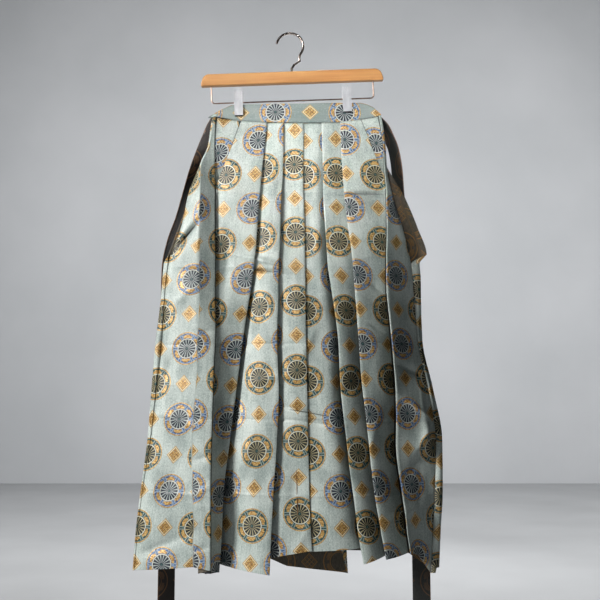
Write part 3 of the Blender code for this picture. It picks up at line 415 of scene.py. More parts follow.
# How the pattern lies on each panel: the motifs of the column nearest the panel's anchor and which of them
# the first row has, that column's distance from the anchor at the band and at the hem, the first row's
# height and the rows' spacing, in millimetres. The anchor is the panel's own fold, or its side or seam.
LEFT_PATTERN = {
    "strip": ("blue", "roundel", 57, 57, -247.5, 69.05),
    "turn": ("round", "lozenge", -18, -18, -239, 69.05),
    "under": ("blue", "roundel", 20, 20, -262, 70),
    "middle": ("blue", "roundel", 15, 9, -235.5, 71.27),
    "inner": ("round", "lozenge", 40, 40, -223.5, 70.91),
    "centre": ("round", "lozenge", 18, 21, -222, 68.96),
}
RIGHT_PATTERN = {
    "strip": ("blue", "roundel", 25, 29, -241.4, 68.41),
    "under": ("blue", "roundel", 15, 15, -241.4, 68.41),
    "middle": ("blue", "roundel", 8, 8, -241.3, 68.65),
    "inner": ("round", "lozenge", 29, 19, -237.3, 69.75),
    "centre": ("round", "lozenge", 22, 18, -238, 69.94),
}
BACK_PATTERN = {
    "back": ("round", "roundel", 40, 40, -240, 70),
    "side_left": ("round", "lozenge", 3, 3, -247.5, 69.05),
    "side_right": ("round", "roundel", 12, 12, -262, 69),
}
HALVES = {
    "left": {"hand": -1, "across": LEFT_ACROSS, "depth": LEFT_DEPTH, "hem": LEFT_HEM, "back": LEFT_BACK,
             "pattern": LEFT_PATTERN},
    "right": {"hand": 1, "across": RIGHT_ACROSS, "depth": RIGHT_DEPTH, "hem": RIGHT_HEM, "back": RIGHT_BACK,
              "pattern": RIGHT_PATTERN},
}
# The pattern stands this much higher at the band, where the cloth comes out from under it, in millimetres
PATTERN_LIFT = {-1: {"under": 6, "middle": 4, "inner": 4, "centre": 13},
                1: {"strip": 8, "under": 8, "middle": 14, "inner": 11, "centre": 6}}
LIFT_REACH = 0.13
BAND_ROUNDEL = -0.0287  # a blue roundel's place along the front band
BAND_ROW = -0.1716
BAND_PITCH = 0.0716

# Colours of the cloth
GROUND_PALE_AND_HIGHLIGHT = (218, 226, 220)
GROUND_LIGHT = (190, 202, 197)
GROUND_DARK = (136, 152, 149)
GROUND_PAINTED_SHADE = (94, 111, 110)
GROUND_WARM = (186, 190, 178)
TEAL_TONES = ((6, 34, 36), (34, 86, 82))
BLUE_TONES = ((42, 66, 108), (114, 144, 184))
WHEEL_TONES = ((8, 16, 14), (24, 30, 48))
CREAM = (186, 176, 136)
GOLD = (216, 180, 112)
GOLD_BROWN = (158, 114, 54)
GOLD_PALE = (232, 216, 172)
GOLD_DARK = (84, 56, 24)
RING_WHITE = (222, 222, 205)
PLEAT_PAINTED_SHADE = (22, 20, 18)
REVERSE_TONES = ((60, 55, 46), (98, 90, 74))
TIE_REVERSE_AND_SHADE_TONES = ((20, 15, 12), (40, 31, 25))
RIM_TONES = ((112, 74, 46), (176, 128, 84))

# Grain of the threads, of the cloth's painted sheen and of the wood: scale, detail and stretch
FLECK = (620.0, 2.0, (1.0, 0.45, 1.0))
STREAK = (260.0, 2.0, (1.0, 0.12, 1.0))
PICK = (420.0, 1.0, (0.5, 1.0, 1.0))
CLOUD = (14.0, 2.0)
PAINTED_SHEEN = (17.0, 3.0, (1.3, 0.7, 1.0))
REVERSE_FLECK = (700.0, 1.0, (1.0, 0.2, 1.0))
WOOD_GRAIN = (60.0, 4.0, (0.10, 1.0, 1.6))
WOOD_FINE = (420.0, 2.0, (0.04, 1.0, 1.0))
WOOD_FIGURE = (9.0, 2.0, (0.5, 1.0, 1.0))
THREAD_HEIGHT = 0.00015

# Camera, floor and wall
CAMERA = (0.0221, -1.6894, -0.7696)
CAMERA_TILT = 97.0
LENS = 50.55
SENSOR = 36.0
FLOOR = -1.62
WALL = 7.5
STAGE_HALF = 9.0
STAGE_NEAR = -4.0
STAGE_TOP = 6.0

# Finer sizes of the ties, bands, leg pieces and hanger
BAND_DRAWN_STEP = 0.003
BAND_RING = 20
BAND_ROUNDNESS = 0.35  # how square the band's section is: 0 is a rectangle and 1 an ellipse
BAND_TURN = -0.147  # to the left of here the front band's end is turned in, and plain
BAND_WORN = (-0.118, 0.142)  # beyond these the brown and gold threads show along the band's top edge
EDGE_SHARE = 0.93  # a thread edge is this far out, as a share of half the strip's width
BAND_PUFF = 0.0004
PUFF_TURNS = (92, 37)  # radians a metre
LITTLE_WORN = 0.3  # share of that between them
SQUARENESS = 0.55  # of the ends of a flattened section
TIE_STEP = 0.006
TIE_RING = 12
TIE_ROUNDNESS = 0.4
TIE_STANDOFF = 0.0020  # a back tie hangs this far behind the cloth's faces
GUSSET_FOOT = -1.045
GUSSET_STEPS = 6
CROTCH_EASE = 0.05  # the walls are straight up to this far below the crotch
CROTCH_TURN = 15  # degrees between the points over it
BAR_CORNER_STEPS = 12
BAR_ROUND = 0.0028
SMOOTH_ANGLE = 40  # edges up to this angle are smooth, in degrees
CLOTH_SMOOTH_ANGLE = 50
PLATE_SMOOTH_ANGLE = 30
RIB_HEIGHT = 0.0003
SLOT_ROWS = 3
SLOT_FIRST = 0.0045
SLOT_PITCH = 0.0034
SLOTS = 4
SLOT_HALF = 0.0011
RIBS = 5
RIB_PITCH = 0.0028
RIB_HALF = 0.0006
RIB_FOOT = 0.010
RIB_TOP = 0.019
RAISED_SINK = 0.0001  # slots and ribs stand this deep in the plate
PLATE_ROUND = 0.00025
PAD_ROUND = 0.0004
SPRING_TURNS = 5
SPRING_STEPS = 16  # to a turn
SPRING_WIRE = 0.0006

# Colours of the rest
TIE_GREEN_PAINTED_SHADE_TONES = ((16, 17, 16), (38, 42, 39))
TIE_GOLD = (104, 72, 42)
WOOD_TONES = ((196, 138, 80), (222, 170, 110))
WOOD_DEEP = (150, 92, 44)
STEEL_TONES = ((140, 122, 112), (196, 186, 180))
COPPER_TONES = ((140, 112, 98), (190, 170, 158))
POLISHED_TONES = ((158, 160, 166), (222, 224, 228))
RUBBER_TONES = ((10, 10, 10), (30, 30, 30))
FLOOR_TONES = ((177, 179, 181), (188, 190, 192))
WALL_TONES = ((192, 195, 198), (206, 208, 211))

# Light: a soft key from the upper left, a narrow lamp on the upper part, a weak fill, and lamps behind the
# garment and on the wall. Each has its place, target, size, power, tint and beam in degrees.
SKY = (236, 240, 245)
SKY_STRENGTH = 0.02
LIGHTS = (
    ("key", (-2.65, -1.75, 0.75), (0.0, 0.0, -0.7), (0.7, 1.0), 150.0, (1.0, 0.985, 0.965), 180.0),
    ("upper", (-0.9, -2.6, 0.2), (0.09, 0.0, -0.225), (0.3, 0.3), 0.43, (1.0, 0.99, 0.97), 14.0),
    ("fill", (0.3, -3.4, 0.2), (0.0, 0.0, -0.8), (1.4, 2.0), 1.2, (0.95, 0.97, 1.0), 180.0),
    ("rear", (0.6, 3.0, 0.6), (0.0, 0.0, -0.7), (1.6, 2.0), 42.0, (1.0, 1.0, 1.0), 180.0),
    ("wall_wash", (0.7, 2.4, 2.0), (0.7, 7.5, -0.2), (9.0, 1.5), 312.0, (1.0, 1.0, 1.0), 180.0),
)


# ---- reading the tables ----

class Curve:
    """A smooth curve through points, which never overshoots them."""

    def __init__(self, points):
        ordered = sorted(points)
        self.x = [p[0] for p in ordered]
        self.y = [p[1] for p in ordered]
        steps = list(zip(self.x, self.y, self.x[1:], self.y[1:]))
        slopes = [(y1 - y0) / (x1 - x0) for x0, y0, x1, y1 in steps]
        self.tangents = [slopes[0]]
        for before, after in zip(slopes, slopes[1:]):
            rising = before * after > 0
            self.tangents.append(2 * before * after / (before + after) if rising else 0.0)
        self.tangents.append(slopes[-1])

    def __call__(self, x):
        x = min(max(x, self.x[0]), self.x[-1])
        i = min(bisect.bisect_right(self.x, x), len(self.x) - 1) - 1
        width = self.x[i + 1] - self.x[i]
        t = (x - self.x[i]) / width
        low, high = self.y[i], self.y[i + 1]
        bend = width * t * (1 - t) * ((1 - t) * self.tangents[i] - t * self.tangents[i + 1])
        return low + (high - low) * t * t * (3 - 2 * t) + bend


CURVES = {}


def smooth(points, x):
    """A table's points, in millimetres, read smoothly at x in metres."""
    if points not in CURVES:
        CURVES[points] = Curve(points)
    return CURVES[points](x / MM) * MM


def straight(points, x):
    """The same, straight between the points."""
    return float(np.interp(x / MM, [p[0] for p in points], [p[1] for p in points])) * MM


def column(columns, rows, name):
    index = columns.index(name)
    return tuple((row[0], row[index]) for row in reversed(rows))


def read(columns, rows, z, name):
    return smooth(column(columns, rows, name), z)


def clamp(share):
    return min(1.0, max(0.0, share))


def layer_spacing(z):
    share = clamp((z - BAND_FOOT) / (FREE_HEIGHT - BAND_FOOT))
    return LAYER_AT_BAND + (LAYER_BELOW - LAYER_AT_BAND) * share


def clip_at_band(side):
    return MIDDLE + side * CLIP_REACH - (CLIP_BOTTOM + PAD_HEIGHT) * math.sin(-TILT)


def bow(x):
    """How far a band stands off its place at the clips, as it bows out between them."""
    left = clip_at_band(-1) + CLIP_WIDTH / 2 + BOW_MARGIN
    right = clip_at_band(1) - CLIP_WIDTH / 2 - BOW_MARGIN
    share = (x - left) / (right - left)
    if share <= 0 or share >= 1:
        return 0.0
    return BAND_BOW * math.sin(math.pi * share) ** BOW_POWER


def spread(x):
    """How far the back band stands off beyond the clips, clear of the front ties."""
    grip = CLIP_WIDTH / 2 + GRIP_MARGIN
    beyond = max(clip_at_band(-1) - grip - x, x - clip_at_band(1) - grip, 0.0)
    return BAND_SPREAD * min(1.0, beyond / BAND_STEP)


def band_foot(x):
    """Lower edge of the bands: it sags between the hips and turns down at the left tip."""
    side = -1 if x < FOOT_LOW[0] else 1
    turn, slope = LEFT_TIP
    past = max(0.0, turn - x)
    reach = abs(x + past - FOOT_LOW[0]) / FOOT_REACH
    return FOOT_LOW[1] + FOOT_RISE[side] * reach ** FOOT_POWER - slope * past


# ---- sections of folded cloth ----

class Face:
    """A pleat's face: it comes out from behind a fold, steps out at the knee and rises to its own fold."""

    def __init__(self, start, knee, edge, curl=FACE_CURL, crown=0.0):
        self.start, self.knee, self.edge, self.curl, self.crown = start, knee, edge, curl, crown

    def depth(self, m):
        if m <= self.knee[0]:
            share = clamp((m - self.start[0]) / (self.knee[0] - self.start[0]))
            return self.start[1] + (self.knee[1] - self.start[1]) * smooth_step(share)
        share = min(1.0, (m - self.knee[0]) / (self.edge[0] - self.knee[0]))
        crown = self.crown * CROWN_SCALE * share * (1 - share) ** 3
        return self.knee[1] + (self.edge[1] - self.knee[1]) * (1 - (1 - share) ** self.curl) - crown


def smooth_step(share):
    return share * share * (3 - 2 * share)


class Path:
    """The middle line of folded cloth in a level section, as points (m, y, hem height).

    m runs toward the centre front and y toward the back. The cloth's length along the line gives the
    pattern its place: each panel of it is measured from one anchor, and the panels change in a tuck.
    """

    def __init__(self):
        self.points = []
        self.panels = []
        self.inside = 0.0  # 1 for cloth inside a pleat, where no light comes; the brocade paints shade there
        self.painted_shade_marks = []

    def panel(self, name):
        """The points from here on belong to this panel of the pattern."""
        self.panels.append([name, len(self.points), None])

    def anchor(self):
        """The panel is measured from the last point."""
        self.panels[-1][2] = len(self.points) - 1

    def add(self, m, y, hem):
        self.points.append((m, y, hem))
        self.painted_shade_marks.append(self.inside)

    def run(self, line, first, last, count, hem_first, hem_last):
        """Points along a line y(m) from first to last, both left out."""
        for i in range(1, count):
            share = i / count
            m = first + (last - first) * share
            self.add(m, line(m), hem_first + (hem_last - hem_first) * share)

    def fold(self, m, y, sense, span, hem, width=None, steps=FOLD_STEPS, anchored=False):
        """A turn whose outermost point is m, from depth y to y + span."""
        width = abs(span) / 2 if width is None else width
        for i in range(steps + 1):
            angle = math.pi * (i / steps - 0.5)
            self.add(m - sense * width + sense * width * math.cos(angle),
                     y + span / 2 + span / 2 * math.sin(angle), hem)
            if anchored and i == steps // 2:
                self.anchor()

    def lengths(self):
        total = [0.0]
        for (m0, y0, _), (m1, y1, _) in zip(self.points, self.points[1:]):
            total.append(total[-1] + math.hypot(m1 - m0, y1 - y0))
        return total


def fold_edge(half, z, name):
    """Place of a fold's edge in the section at height z, as (m, y), with its own slight waver."""
    waver = WAVER.get((half["hand"], name), ())
    shift = sum(height * MM * math.exp(-((z / MM - place) / width) ** 2) for place, width, height in waver)
    return (-read(ACROSS, half["across"], z, name) + shift, read(DEPTH, half["depth"], z, name))


def face_after(half, z, fold, edge, tucked=None):
    """The face that comes out from behind a fold and runs to the point edge.

    It follows on from a point of the layer tucked behind that fold.
    """
    m, y = fold_edge(half, z, fold)
    behind = y + 2 * layer_spacing(z)
    knee = (m + KNEE, behind + read(DEPTH, half["depth"], z, "valley_" + fold))
    curl = DEEP_CURL.get((half["hand"], fold), FACE_CURL)
    crown = CROWNS.get((half["hand"], fold), 0.0) * min(1.0, (BAND_FOOT - z) / CROWN_FALL)
    return Face(tucked or (m - VALLEY_TUCK, behind), knee, edge, curl, crown)


def side_strip(path, half, z, hem):
    """Adds the side strip, its bend and its fold. Returns that fold and the turn of its tuck."""
    left = half["hand"] < 0
    step = layer_spacing(z)
    places = [fold_edge(half, z, name) for name in ("side", "bend", "outer")]
    (side, side_y), (bend, bend_y), (outer, outer_y) = places
    bow_depth = STRIP_BOW * (bend - side)

    def strip(m):
        if m < bend:
            share = (m - side) / (bend - side)
            return side_y + (bend_y - side_y) * share - 4 * bow_depth * share * (1 - share)
        return bend_y + (outer_y - bend_y) * (m - bend) / (outer - bend)

    path.panel("strip")
    path.add(side, side_y, hem["side"])
    if left:
        path.anchor()
    path.run(strip, side, bend, STRIP_STEPS, hem["side"], hem["bend"])
    path.add(bend, bend_y, hem["bend"])
    if left:
        path.panel("turn")
    path.run(strip, bend, outer - step / 2, STRIP_STEPS, hem["bend"], hem["outer"])
    path.fold(outer, outer_y, 1, step, hem["outer"], FOLD_WIDTH, anchored=True)
    turn = outer - min(UNDERLAP, STRIP_TUCK_SHARE * (outer - bend))
    return (outer, outer_y), (turn, strip(turn) + step)


def slanting_fold(path, half, z, hem, outer_fold, outer_turn):
    """Adds the sasahida, which the strip's fold covers further down. Returns the face that follows it."""
    (outer, outer_y), (turn_m, turn_y) = outer_fold, outer_turn
    step = layer_spacing(z)
    sasa = -read(ACROSS, half["across"], z, "sasa")
    dive = clamp(1 - (sasa - outer) / SASA_DIVE)
    start_y = outer_y + dive * (2 * step + read(DEPTH, half["depth"], z, "valley_outer"))
    knee = (max(outer, sasa) + MM, start_y)
    face = Face((sasa, start_y), knee, fold_edge(half, z, "middle"))
    sasa_end = max(sasa + min(SASA_TUCK, SASA_TUCK_SHARE * (face.edge[0] - sasa)), knee[0] + 2 * MM)
    under_y = turn_y + (1 + 2 * dive) * step

    def add_under(share):
        path.add(turn_m + (sasa - turn_m) * share, under_y + (start_y + 2 * step - under_y) * share, hem)

    path.inside = 1.0
    path.fold(turn_m, turn_y, -1, (1 + 2 * dive) * step, hem, width=step / 2, steps=TUCK_STEPS)
    path.panel("under")
    path.add(turn_m + MM, under_y, hem)
    path.anchor()
    seen = min(1 - LEAST_SHARE, max(LEAST_SHARE, (outer + UNDER_MARGIN - turn_m) / (sasa - turn_m)))
    for share in HIDDEN_SHARES:
        add_under(seen * share)
    path.inside = 0.0
    for share in UNDER_SHARES:
        add_under(seen + (1 - seen) * share)
    path.inside = 1.0
    path.add(sasa, start_y + 2 * step, hem)
    path.add(knee[0], knee[1] + 2 * step, hem)
    path.fold(sasa_end, face.depth(sasa_end) + 2 * step, 1, -step, hem, steps=TUCK_STEPS)
    path.panel("middle")
    path.add(knee[0], knee[1] + step, hem)
    path.inside = float(sasa < outer)
    path.fold(sasa, start_y + step, -1, -step, hem, FOLD_WIDTH)
    return face


def facing_fold(path, z, name, face, hem, past):
    """Adds a fold that faces the centre front, and its tuck. Returns the point where the tuck ends."""
    step = layer_spacing(z)
    m, y = face.edge
    path.fold(m, y, 1, step, hem, FOLD_WIDTH, anchored=True)
    path.inside = 1.0
    tuck = TUCK_SHARE * (m - face.knee[0])
    turn_m = m - tuck
    path.run(lambda at: face.depth(at) + step, m - step / 2, turn_m, TUCK_STEPS, hem, past)
    path.fold(turn_m, face.depth(turn_m) + step, -1, step, past, steps=TUCK_STEPS)
    path.panel("inner" if name == "middle" else "centre")
    lip = m - min(VALLEY_TUCK, VALLEY_SHARE * tuck)
    path.run(lambda at: face.depth(at) + 2 * step, turn_m, lip, TUCK_STEPS, past, past)
    return (lip, face.depth(lip) + 2 * step)


def front_path(half, z):
    """A front's layers in the section at height z, from the side edge to the centre front seam."""
    left = half["hand"] < 0
    hem = {name: value * MM for name, value in zip(HEM, half["hem"])}
    past = hem["past_outer"]
    path = Path()
    face = slanting_fold(path, half, z, past, *side_strip(path, half, z, hem))
    last = fold_edge(half, z, "centre") if left else under_centre_fold(z)
    for name, end in (("middle", fold_edge(half, z, "inner")), ("inner", last)):
        run_to_fold(path, face, past, hem[name])
        past = hem["past_" + name]
        face = face_after(half, z, name, end, facing_fold(path, z, name, face, hem[name], past))
    run_to_fold(path, face, past, hem["centre"])
    m, y = face.edge
    if left:
        # the left front's fold at the centre, on top of the right front
        path.fold(m, y, 1, CENTRE_STEP, hem["centre"], FOLD_WIDTH, anchored=True)
        for share in (0.5, 1.0):
            inside = m - CENTRE_TUCK_LEFT * share
            path.add(inside, face.depth(inside) + CENTRE_STEP, hem["centre"])
    else:
        path.add(m, y, hem["centre"])
        path.add(centre_end("right", z), centre_seam_depth(z), hem["centre"])
        path.anchor()
    return path


def run_to_fold(path, face, hem_start, hem_end):
    """Adds a face, from behind the fold over it up to its own fold."""
    for share in STEP_SHARES:
        m = face.start[0] + (face.knee[0] - face.start[0]) * share
        path.add(m, face.depth(m), hem_start)
    path.inside = 0.0
    for share in KNEE_SHARES:
        m = face.knee[0] + (face.edge[0] - face.knee[0]) * share
        path.add(m, face.depth(m), hem_start)
    path.run(face.depth, face.knee[0], face.edge[0] - MM, FACE_STEPS, hem_start, hem_end)


def centre_tuck_depth(z, m):
    """Depth of the layer tucked behind the left front's centre fold."""
    half = HALVES["left"]
    face = face_after(half, z, "inner", fold_edge(half, z, "centre"))
    return face.depth(m) + CENTRE_STEP


def centre_seam_depth(z):
    """Depth of the right front's edge, sewn to the back of that tuck."""
    return centre_tuck_depth(z, -centre_end("right", z)) + CLOTH + SEAM_GAP + SEAM_EASE


def under_centre_fold(z):
    """Where the right front passes under the left front's centre fold."""
    m, y = fold_edge(HALVES["left"], z, "centre")
    return (-m, y + CENTRE_STEP + CLOTH)


def back_value(name, z, column_name):
    return read(BACK, HALVES[name]["back"], z, column_name)


def turns_round(z):
    """0 above the side opening, where nothing turns round the side, and 1 below it."""
    low, high = OPENING_ENDS
    return clamp((high - z) / (high - low))


def right_rear(x, z):
    """Depth of the right back at x: the left back's centre fold lies behind it."""
    reach = back_value("right", z, "reach")
    side = back_value("right", z, "rear_side")
    centre = back_value("right", z, "rear_centre")
    end = -centre_end("right", z)
    return centre + (side - centre) * (x - end) / (reach - end)


def rear_knots(name, z):
    """The outer layer of a back across the rear, from the side to the centre."""
    start = (-back_value(name, z, "reach"), back_value(name, z, "rear_side"))
    centre = (centre_end(name, z), back_value(name, z, "rear_centre"))
    if name == "right":
        return [start, centre]
    step = layer_spacing(z)
    fold = back_value(name, z, "fold")
    return [start, (centre[0], centre[1] + CLOTH + SEAM_GAP + step), (fold, right_rear(fold, z) + 2 * step)]


def rear_depth(knots, m):
    return float(np.interp(m, [knot[0] for knot in knots], [knot[1] for knot in knots]))


def back_hem(name, m):
    table = LEFT_BACK_HEM if name == "left" else RIGHT_BACK_HEM
    return straight(table, -m * HALVES[name]["hand"])


def side_turn(path, name, z, knots):
    """Adds a back's way from its seam on the front, out to the side and round it."""
    half = HALVES[name]
    turns = turns_round(z)
    reach, rear_side = knots[0]
    seam, seam_y = fold_edge(half, z, "side")
    bend, bend_y = fold_edge(half, z, "bend")
    slope = abs(bend_y - seam_y) / math.hypot(bend - seam, bend_y - seam_y)
    seam -= SEAM_GAP + CLOTH / 2 * slope
    width = ROUND_SHARE * min(abs(seam - reach), ROUND_THE_SIDE)
    span = rear_side - seam_y
    closed = [(seam, seam_y), ((seam + reach) / 2, seam_y)]
    for degrees in SIDE_ANGLES:
        angle = math.radians(degrees)
        closed.append((reach + width - width * math.cos(angle),
                       seam_y + span / 2 + span / 2 * math.sin(angle)))
    path.panel("side_" + name)
    open_step = OPEN_STRETCH / (len(closed) - 1)
    for i, (m, y) in enumerate(closed):
        open_m = reach + open_step * i
        open_y = rear_depth(knots, open_m)
        hem = half["hem"][0] * MM if i < 2 else back_hem(name, reach)
        path.add(open_m + (m - open_m) * turns, open_y + (y - open_y) * turns, hem)
        if not i:
            path.anchor()


def back_path(name, z):
    """A back's layers in the section at height z, from the side seam to the centre back."""
    path = Path()
    knots = rear_knots(name, z)
    side_turn(path, name, z, knots)
    path.panel("back")
    centre = knots[1][0]
    first = path.points[-1][0]
    for i in range(1, REAR_STEPS):
        m = first + (centre - first) * i / REAR_STEPS
        path.add(m, rear_depth(knots, m), back_hem(name, m))
    path.add(*knots[1], back_hem(name, centre))
    path.anchor()
    if name == "left":
        # the centre back fold, whose tuck lies inside
        fold, fold_y = knots[2]
        step = layer_spacing(z)
        for i in range(1, STRIP_STEPS):
            m = centre + (fold - step / 2 - centre) * i / STRIP_STEPS
            path.add(m, rear_depth(knots, m), back_hem(name, m))
        path.fold(fold, fold_y, 1, -step, back_hem(name, fold))
        path.add(fold - BACK_TUCK, right_rear(fold - BACK_TUCK, z) + step, BACK_TUCK_HEM)
        path.add(centre, back_value(name, z, "rear_centre") + CLOTH + SEAM_GAP, BACK_TUCK_HEM)
    return path


def centre_end(name, z):
    """Where a front or a back ends at the centre, along m: the inner leg seams hang from there."""
    centre = fold_edge(HALVES["left"], z, "centre")[0]
    if name == "left":
        return centre - CENTRE_TUCK_LEFT
    return -(centre - CENTRE_TUCK_RIGHT)


# ---- creases ----

def tent(distance, width):
    """A crease's profile: sharp at its line and gone a few widths away."""
    return np.exp(-np.sqrt(distance ** 2 + CREASE_ROUND ** 2) / width)


def waves(x, z, table):
    return sum(height * np.sin(across * x + down * z + phase) for height, across, down, phase in table)


def fold_marks(x, z):
    return sum(height * MM * tent(z - level * MM - tilt * x, width * MM)
               for level, tilt, height, width in FOLD_MARKS)


def along_and_off(x, z, place, level, degrees):
    """Distances along a crease's line, from its middle, and off it, in millimetres."""
    across, up = x / MM - place, z / MM - level
    angle = math.radians(degrees)
    return across * math.cos(angle) + up * math.sin(angle), up * math.cos(angle) - across * math.sin(angle)


def front_relief(x, z):
    """How far the fronts stand forward of their folded shape, in metres: waves, fold marks and creases."""
    fall = np.clip((BAND_FOOT - z) / WAVES_GROW, 0.0, 1.0)
    relief = waves(x, z, WAVES) * (WAVES_AT_BAND + (1 - WAVES_AT_BAND) * fall) + fold_marks(x, z)
    for place, level, length, degrees, width, height in CREASES:
        along, off = along_and_off(x, z, place, level, degrees)
        gain = SHARP_GAIN if width < SHARP_WIDTH else 1.0
        relief += gain * height * MM * tent(off * MM, width * MM) * np.exp(-(along / length) ** 2)
    return relief


def crease_shade(x, z):
    """1 in the folds that close over themselves, where no light comes, and 0 elsewhere."""
    shade = np.zeros_like(x)
    for place, level, length, degrees, width, depth in CLOSED_CREASES:
        along, off = along_and_off(x, z, place, level, degrees)
        shade = np.maximum(shade, depth * np.exp(-(off / width) ** 2 - (along / length) ** 6))
    return shade


def back_relief(x, z):
    return waves(x, z, BACK_WAVES) - BACK_MARKS * fold_marks(x, z)


# ---- from sections to cloth ----

def add_object(name, data):
    item = bpy.data.objects.new(name, data)
    bpy.context.scene.collection.objects.link(item)
    return item


def section_heights():
    """Heights of the sections, closer together near the band and at the fold marks."""
    levels = [BAND_FOOT]
    while levels[-1] > HEM_ROW:
        near = any(abs(levels[-1] / MM - place) < reach for place, reach in FINE_ZONES)
        levels.append(max(HEM_ROW, levels[-1] - (FINE_STEP if near else ROW_STEP)))
    return levels


def place_row(path, hand, section_z, rise):
    """The section's points in space: the first rows follow the band, and the last the hem."""
    row = []
    for m, y, hem in path.points:
        x = -hand * m
        z = section_z
        if section_z > FIRST_LEVEL:
            share = (section_z - FIRST_LEVEL) / (BAND_FOOT - FIRST_LEVEL)
            top = band_foot(x) + rise - SEAM_GAP
            z = FIRST_LEVEL + (top - FIRST_LEVEL) * share
        elif section_z < LAST_LEVEL:
            share = (section_z - LAST_LEVEL) / (HEM_ROW - LAST_LEVEL)
            z = LAST_LEVEL + (hem - LAST_LEVEL) * share
        row.append((x, y, z))
    return row


def pattern_row(path, table, heights, hand):
    """The pattern's coordinates along a row, in metres of the lattice."""
    lengths = path.lengths()
    ends = [start for _, start, _ in path.panels[1:]] + [len(path.points)]
    row = []
    for (name, start, anchor), end in zip(path.panels, ends):
        kind, first, near, far, level, pitch = table[name]
        base = LATTICE_X if kind == "blue" else 0.0
        sense = -1 if anchor == start else 1
        first_row = LATTICE_Z if (kind == "blue") == (first == "roundel") else 0.0
        for i in range(start, end):
            z = heights[i]
            share = clamp((BAND_FOOT - z) / (BAND_FOOT - HEM_ROW))
            offset = (near + (far - near) * share) * MM
            u = base + sense * (lengths[anchor] - lengths[i]) - offset
            lift = PATTERN_LIFT[hand].get(name, 0) * MM * math.exp((z - BAND_FOOT) / LIFT_REACH)
            v = first_row + LATTICE_Z * (level * MM - z + lift) / (pitch * MM)
            row.append((u, v))
    return row


def cloth(name, paths, hand, table, relief, rise=0.0, faces_back=False):
    """A piece of cloth through its sections, with the pattern's coordinates."""
    heights = section_heights()
    rows = []
    pattern = []
    for section_z, path in zip(heights, paths):
        row = place_row(path, hand, section_z, rise)
        rows.append(row)
        pattern.append(pattern_row(path, table, [z for _, _, z in row], hand))
    points = np.array(rows)
    x, z = points[:, :, 0], points[:, :, 2]
    side = np.abs(x - x[:, :1])
    ease = np.clip(side / SIDE_EASE, 0, 1) * np.clip((points[0, :, 2] - z) / TOP_EASE, 0, 1)
    points[:, :, 1] -= relief(x, z) * ease * ease * (3 - 2 * ease)
    sink = BAND_TUCK * np.exp(-(points[0, :, 2] - z) / BAND_TUCK_REACH)
    points[:, :, 1] += -sink if faces_back else sink
    painted_shade_marks = np.array([path.painted_shade_marks for path in paths])
    if relief is front_relief:
        painted_shade_marks = np.maximum(painted_shade_marks, crease_shade(x, z))
    return sheet_mesh(name, points, np.array(pattern), (hand > 0) != faces_back, painted_shade_marks)


def add_map(mesh, name, places):
    layer = mesh.uv_layers.new(name=name)
    loops = np.zeros(len(mesh.loops), dtype=int)
    mesh.loops.foreach_get("vertex_index", loops)
    layer.data.foreach_set("uv", places[loops].ravel())


def sheet_mesh(name, points, pattern, flip, painted_shade_marks=None):
    rows, columns = points.shape[:2]
    index = np.arange(rows * columns).reshape(rows, columns)
    corners = [index[:-1, :-1], index[1:, :-1], index[1:, 1:], index[:-1, 1:]]
    if flip:
        corners.reverse()
    faces = np.stack([c.ravel() for c in corners], axis=1)
    mesh = bpy.data.meshes.new(name)
    mesh.from_pydata(points.reshape(-1, 3).tolist(), [], faces.tolist())
    inside = np.zeros((rows * columns, 2))
    if painted_shade_marks is not None:
        inside[:, 0] = painted_shade_marks.ravel()
    add_map(mesh, "pattern", pattern.reshape(-1, 2))
    add_map(mesh, "pleats", inside)
    mesh.shade_smooth()
    return add_object(name, mesh)


def thicken(item):
    """Both faces and the edges of the cloth: its right side, its reverse and its rim."""
    for layer in ("brocade", "reverse", "rim"):
        item.data.materials.append(MATERIALS[layer])
    solid = item.modifiers.new("cloth", "SOLIDIFY")
    solid.thickness = CLOTH_DRAWN
    solid.offset = 0
    solid.material_offset = 1
    solid.material_offset_rim = 2
    return item


# ---- waistband, ties and the leg pieces inside ----

def ring_mesh(name, rings, material):
    """A closed tube of cloth with flat ends, through equal rings of corners.

    A corner is its point, its place in the pattern and its share of the worn thread edge.
    """
    count = len(rings[0])
    points, places, edges = zip(*[corner for ring in rings for corner in ring])
    faces = [tuple(range(count)), tuple(range(len(points) - count, len(points)))]
    for i in range(len(rings) - 1):
        for j in range(count):
            k = (j + 1) % count
            faces.append((i * count + j, i * count + k, (i + 1) * count + k, (i + 1) * count + j))
    mesh = bpy.data.meshes.new(name)
    mesh.from_pydata(points, [], faces)
    add_map(mesh, "pattern", np.array(places))
    add_map(mesh, "pleats", np.array([(0.0, edge) for edge in edges]))
    bm = bmesh.new()
    bm.from_mesh(mesh)
    bmesh.ops.recalc_face_normals(bm, faces=bm.faces)
    return add_object(name, filled(mesh, bm, material, CLOTH_SMOOTH_ANGLE))


def flat_ring(count, roundness):
    """A flattened ring with rounded ends: pairs from -1 to 1, across and through."""
    ring = []
    for i in range(count):
        angle = math.tau * (i + 0.5) / count
        across, through = math.cos(angle), math.sin(angle)
        ring.append((math.copysign(abs(across) ** roundness, across),
                     math.copysign(abs(through) ** SQUARENESS, through)))
    return ring


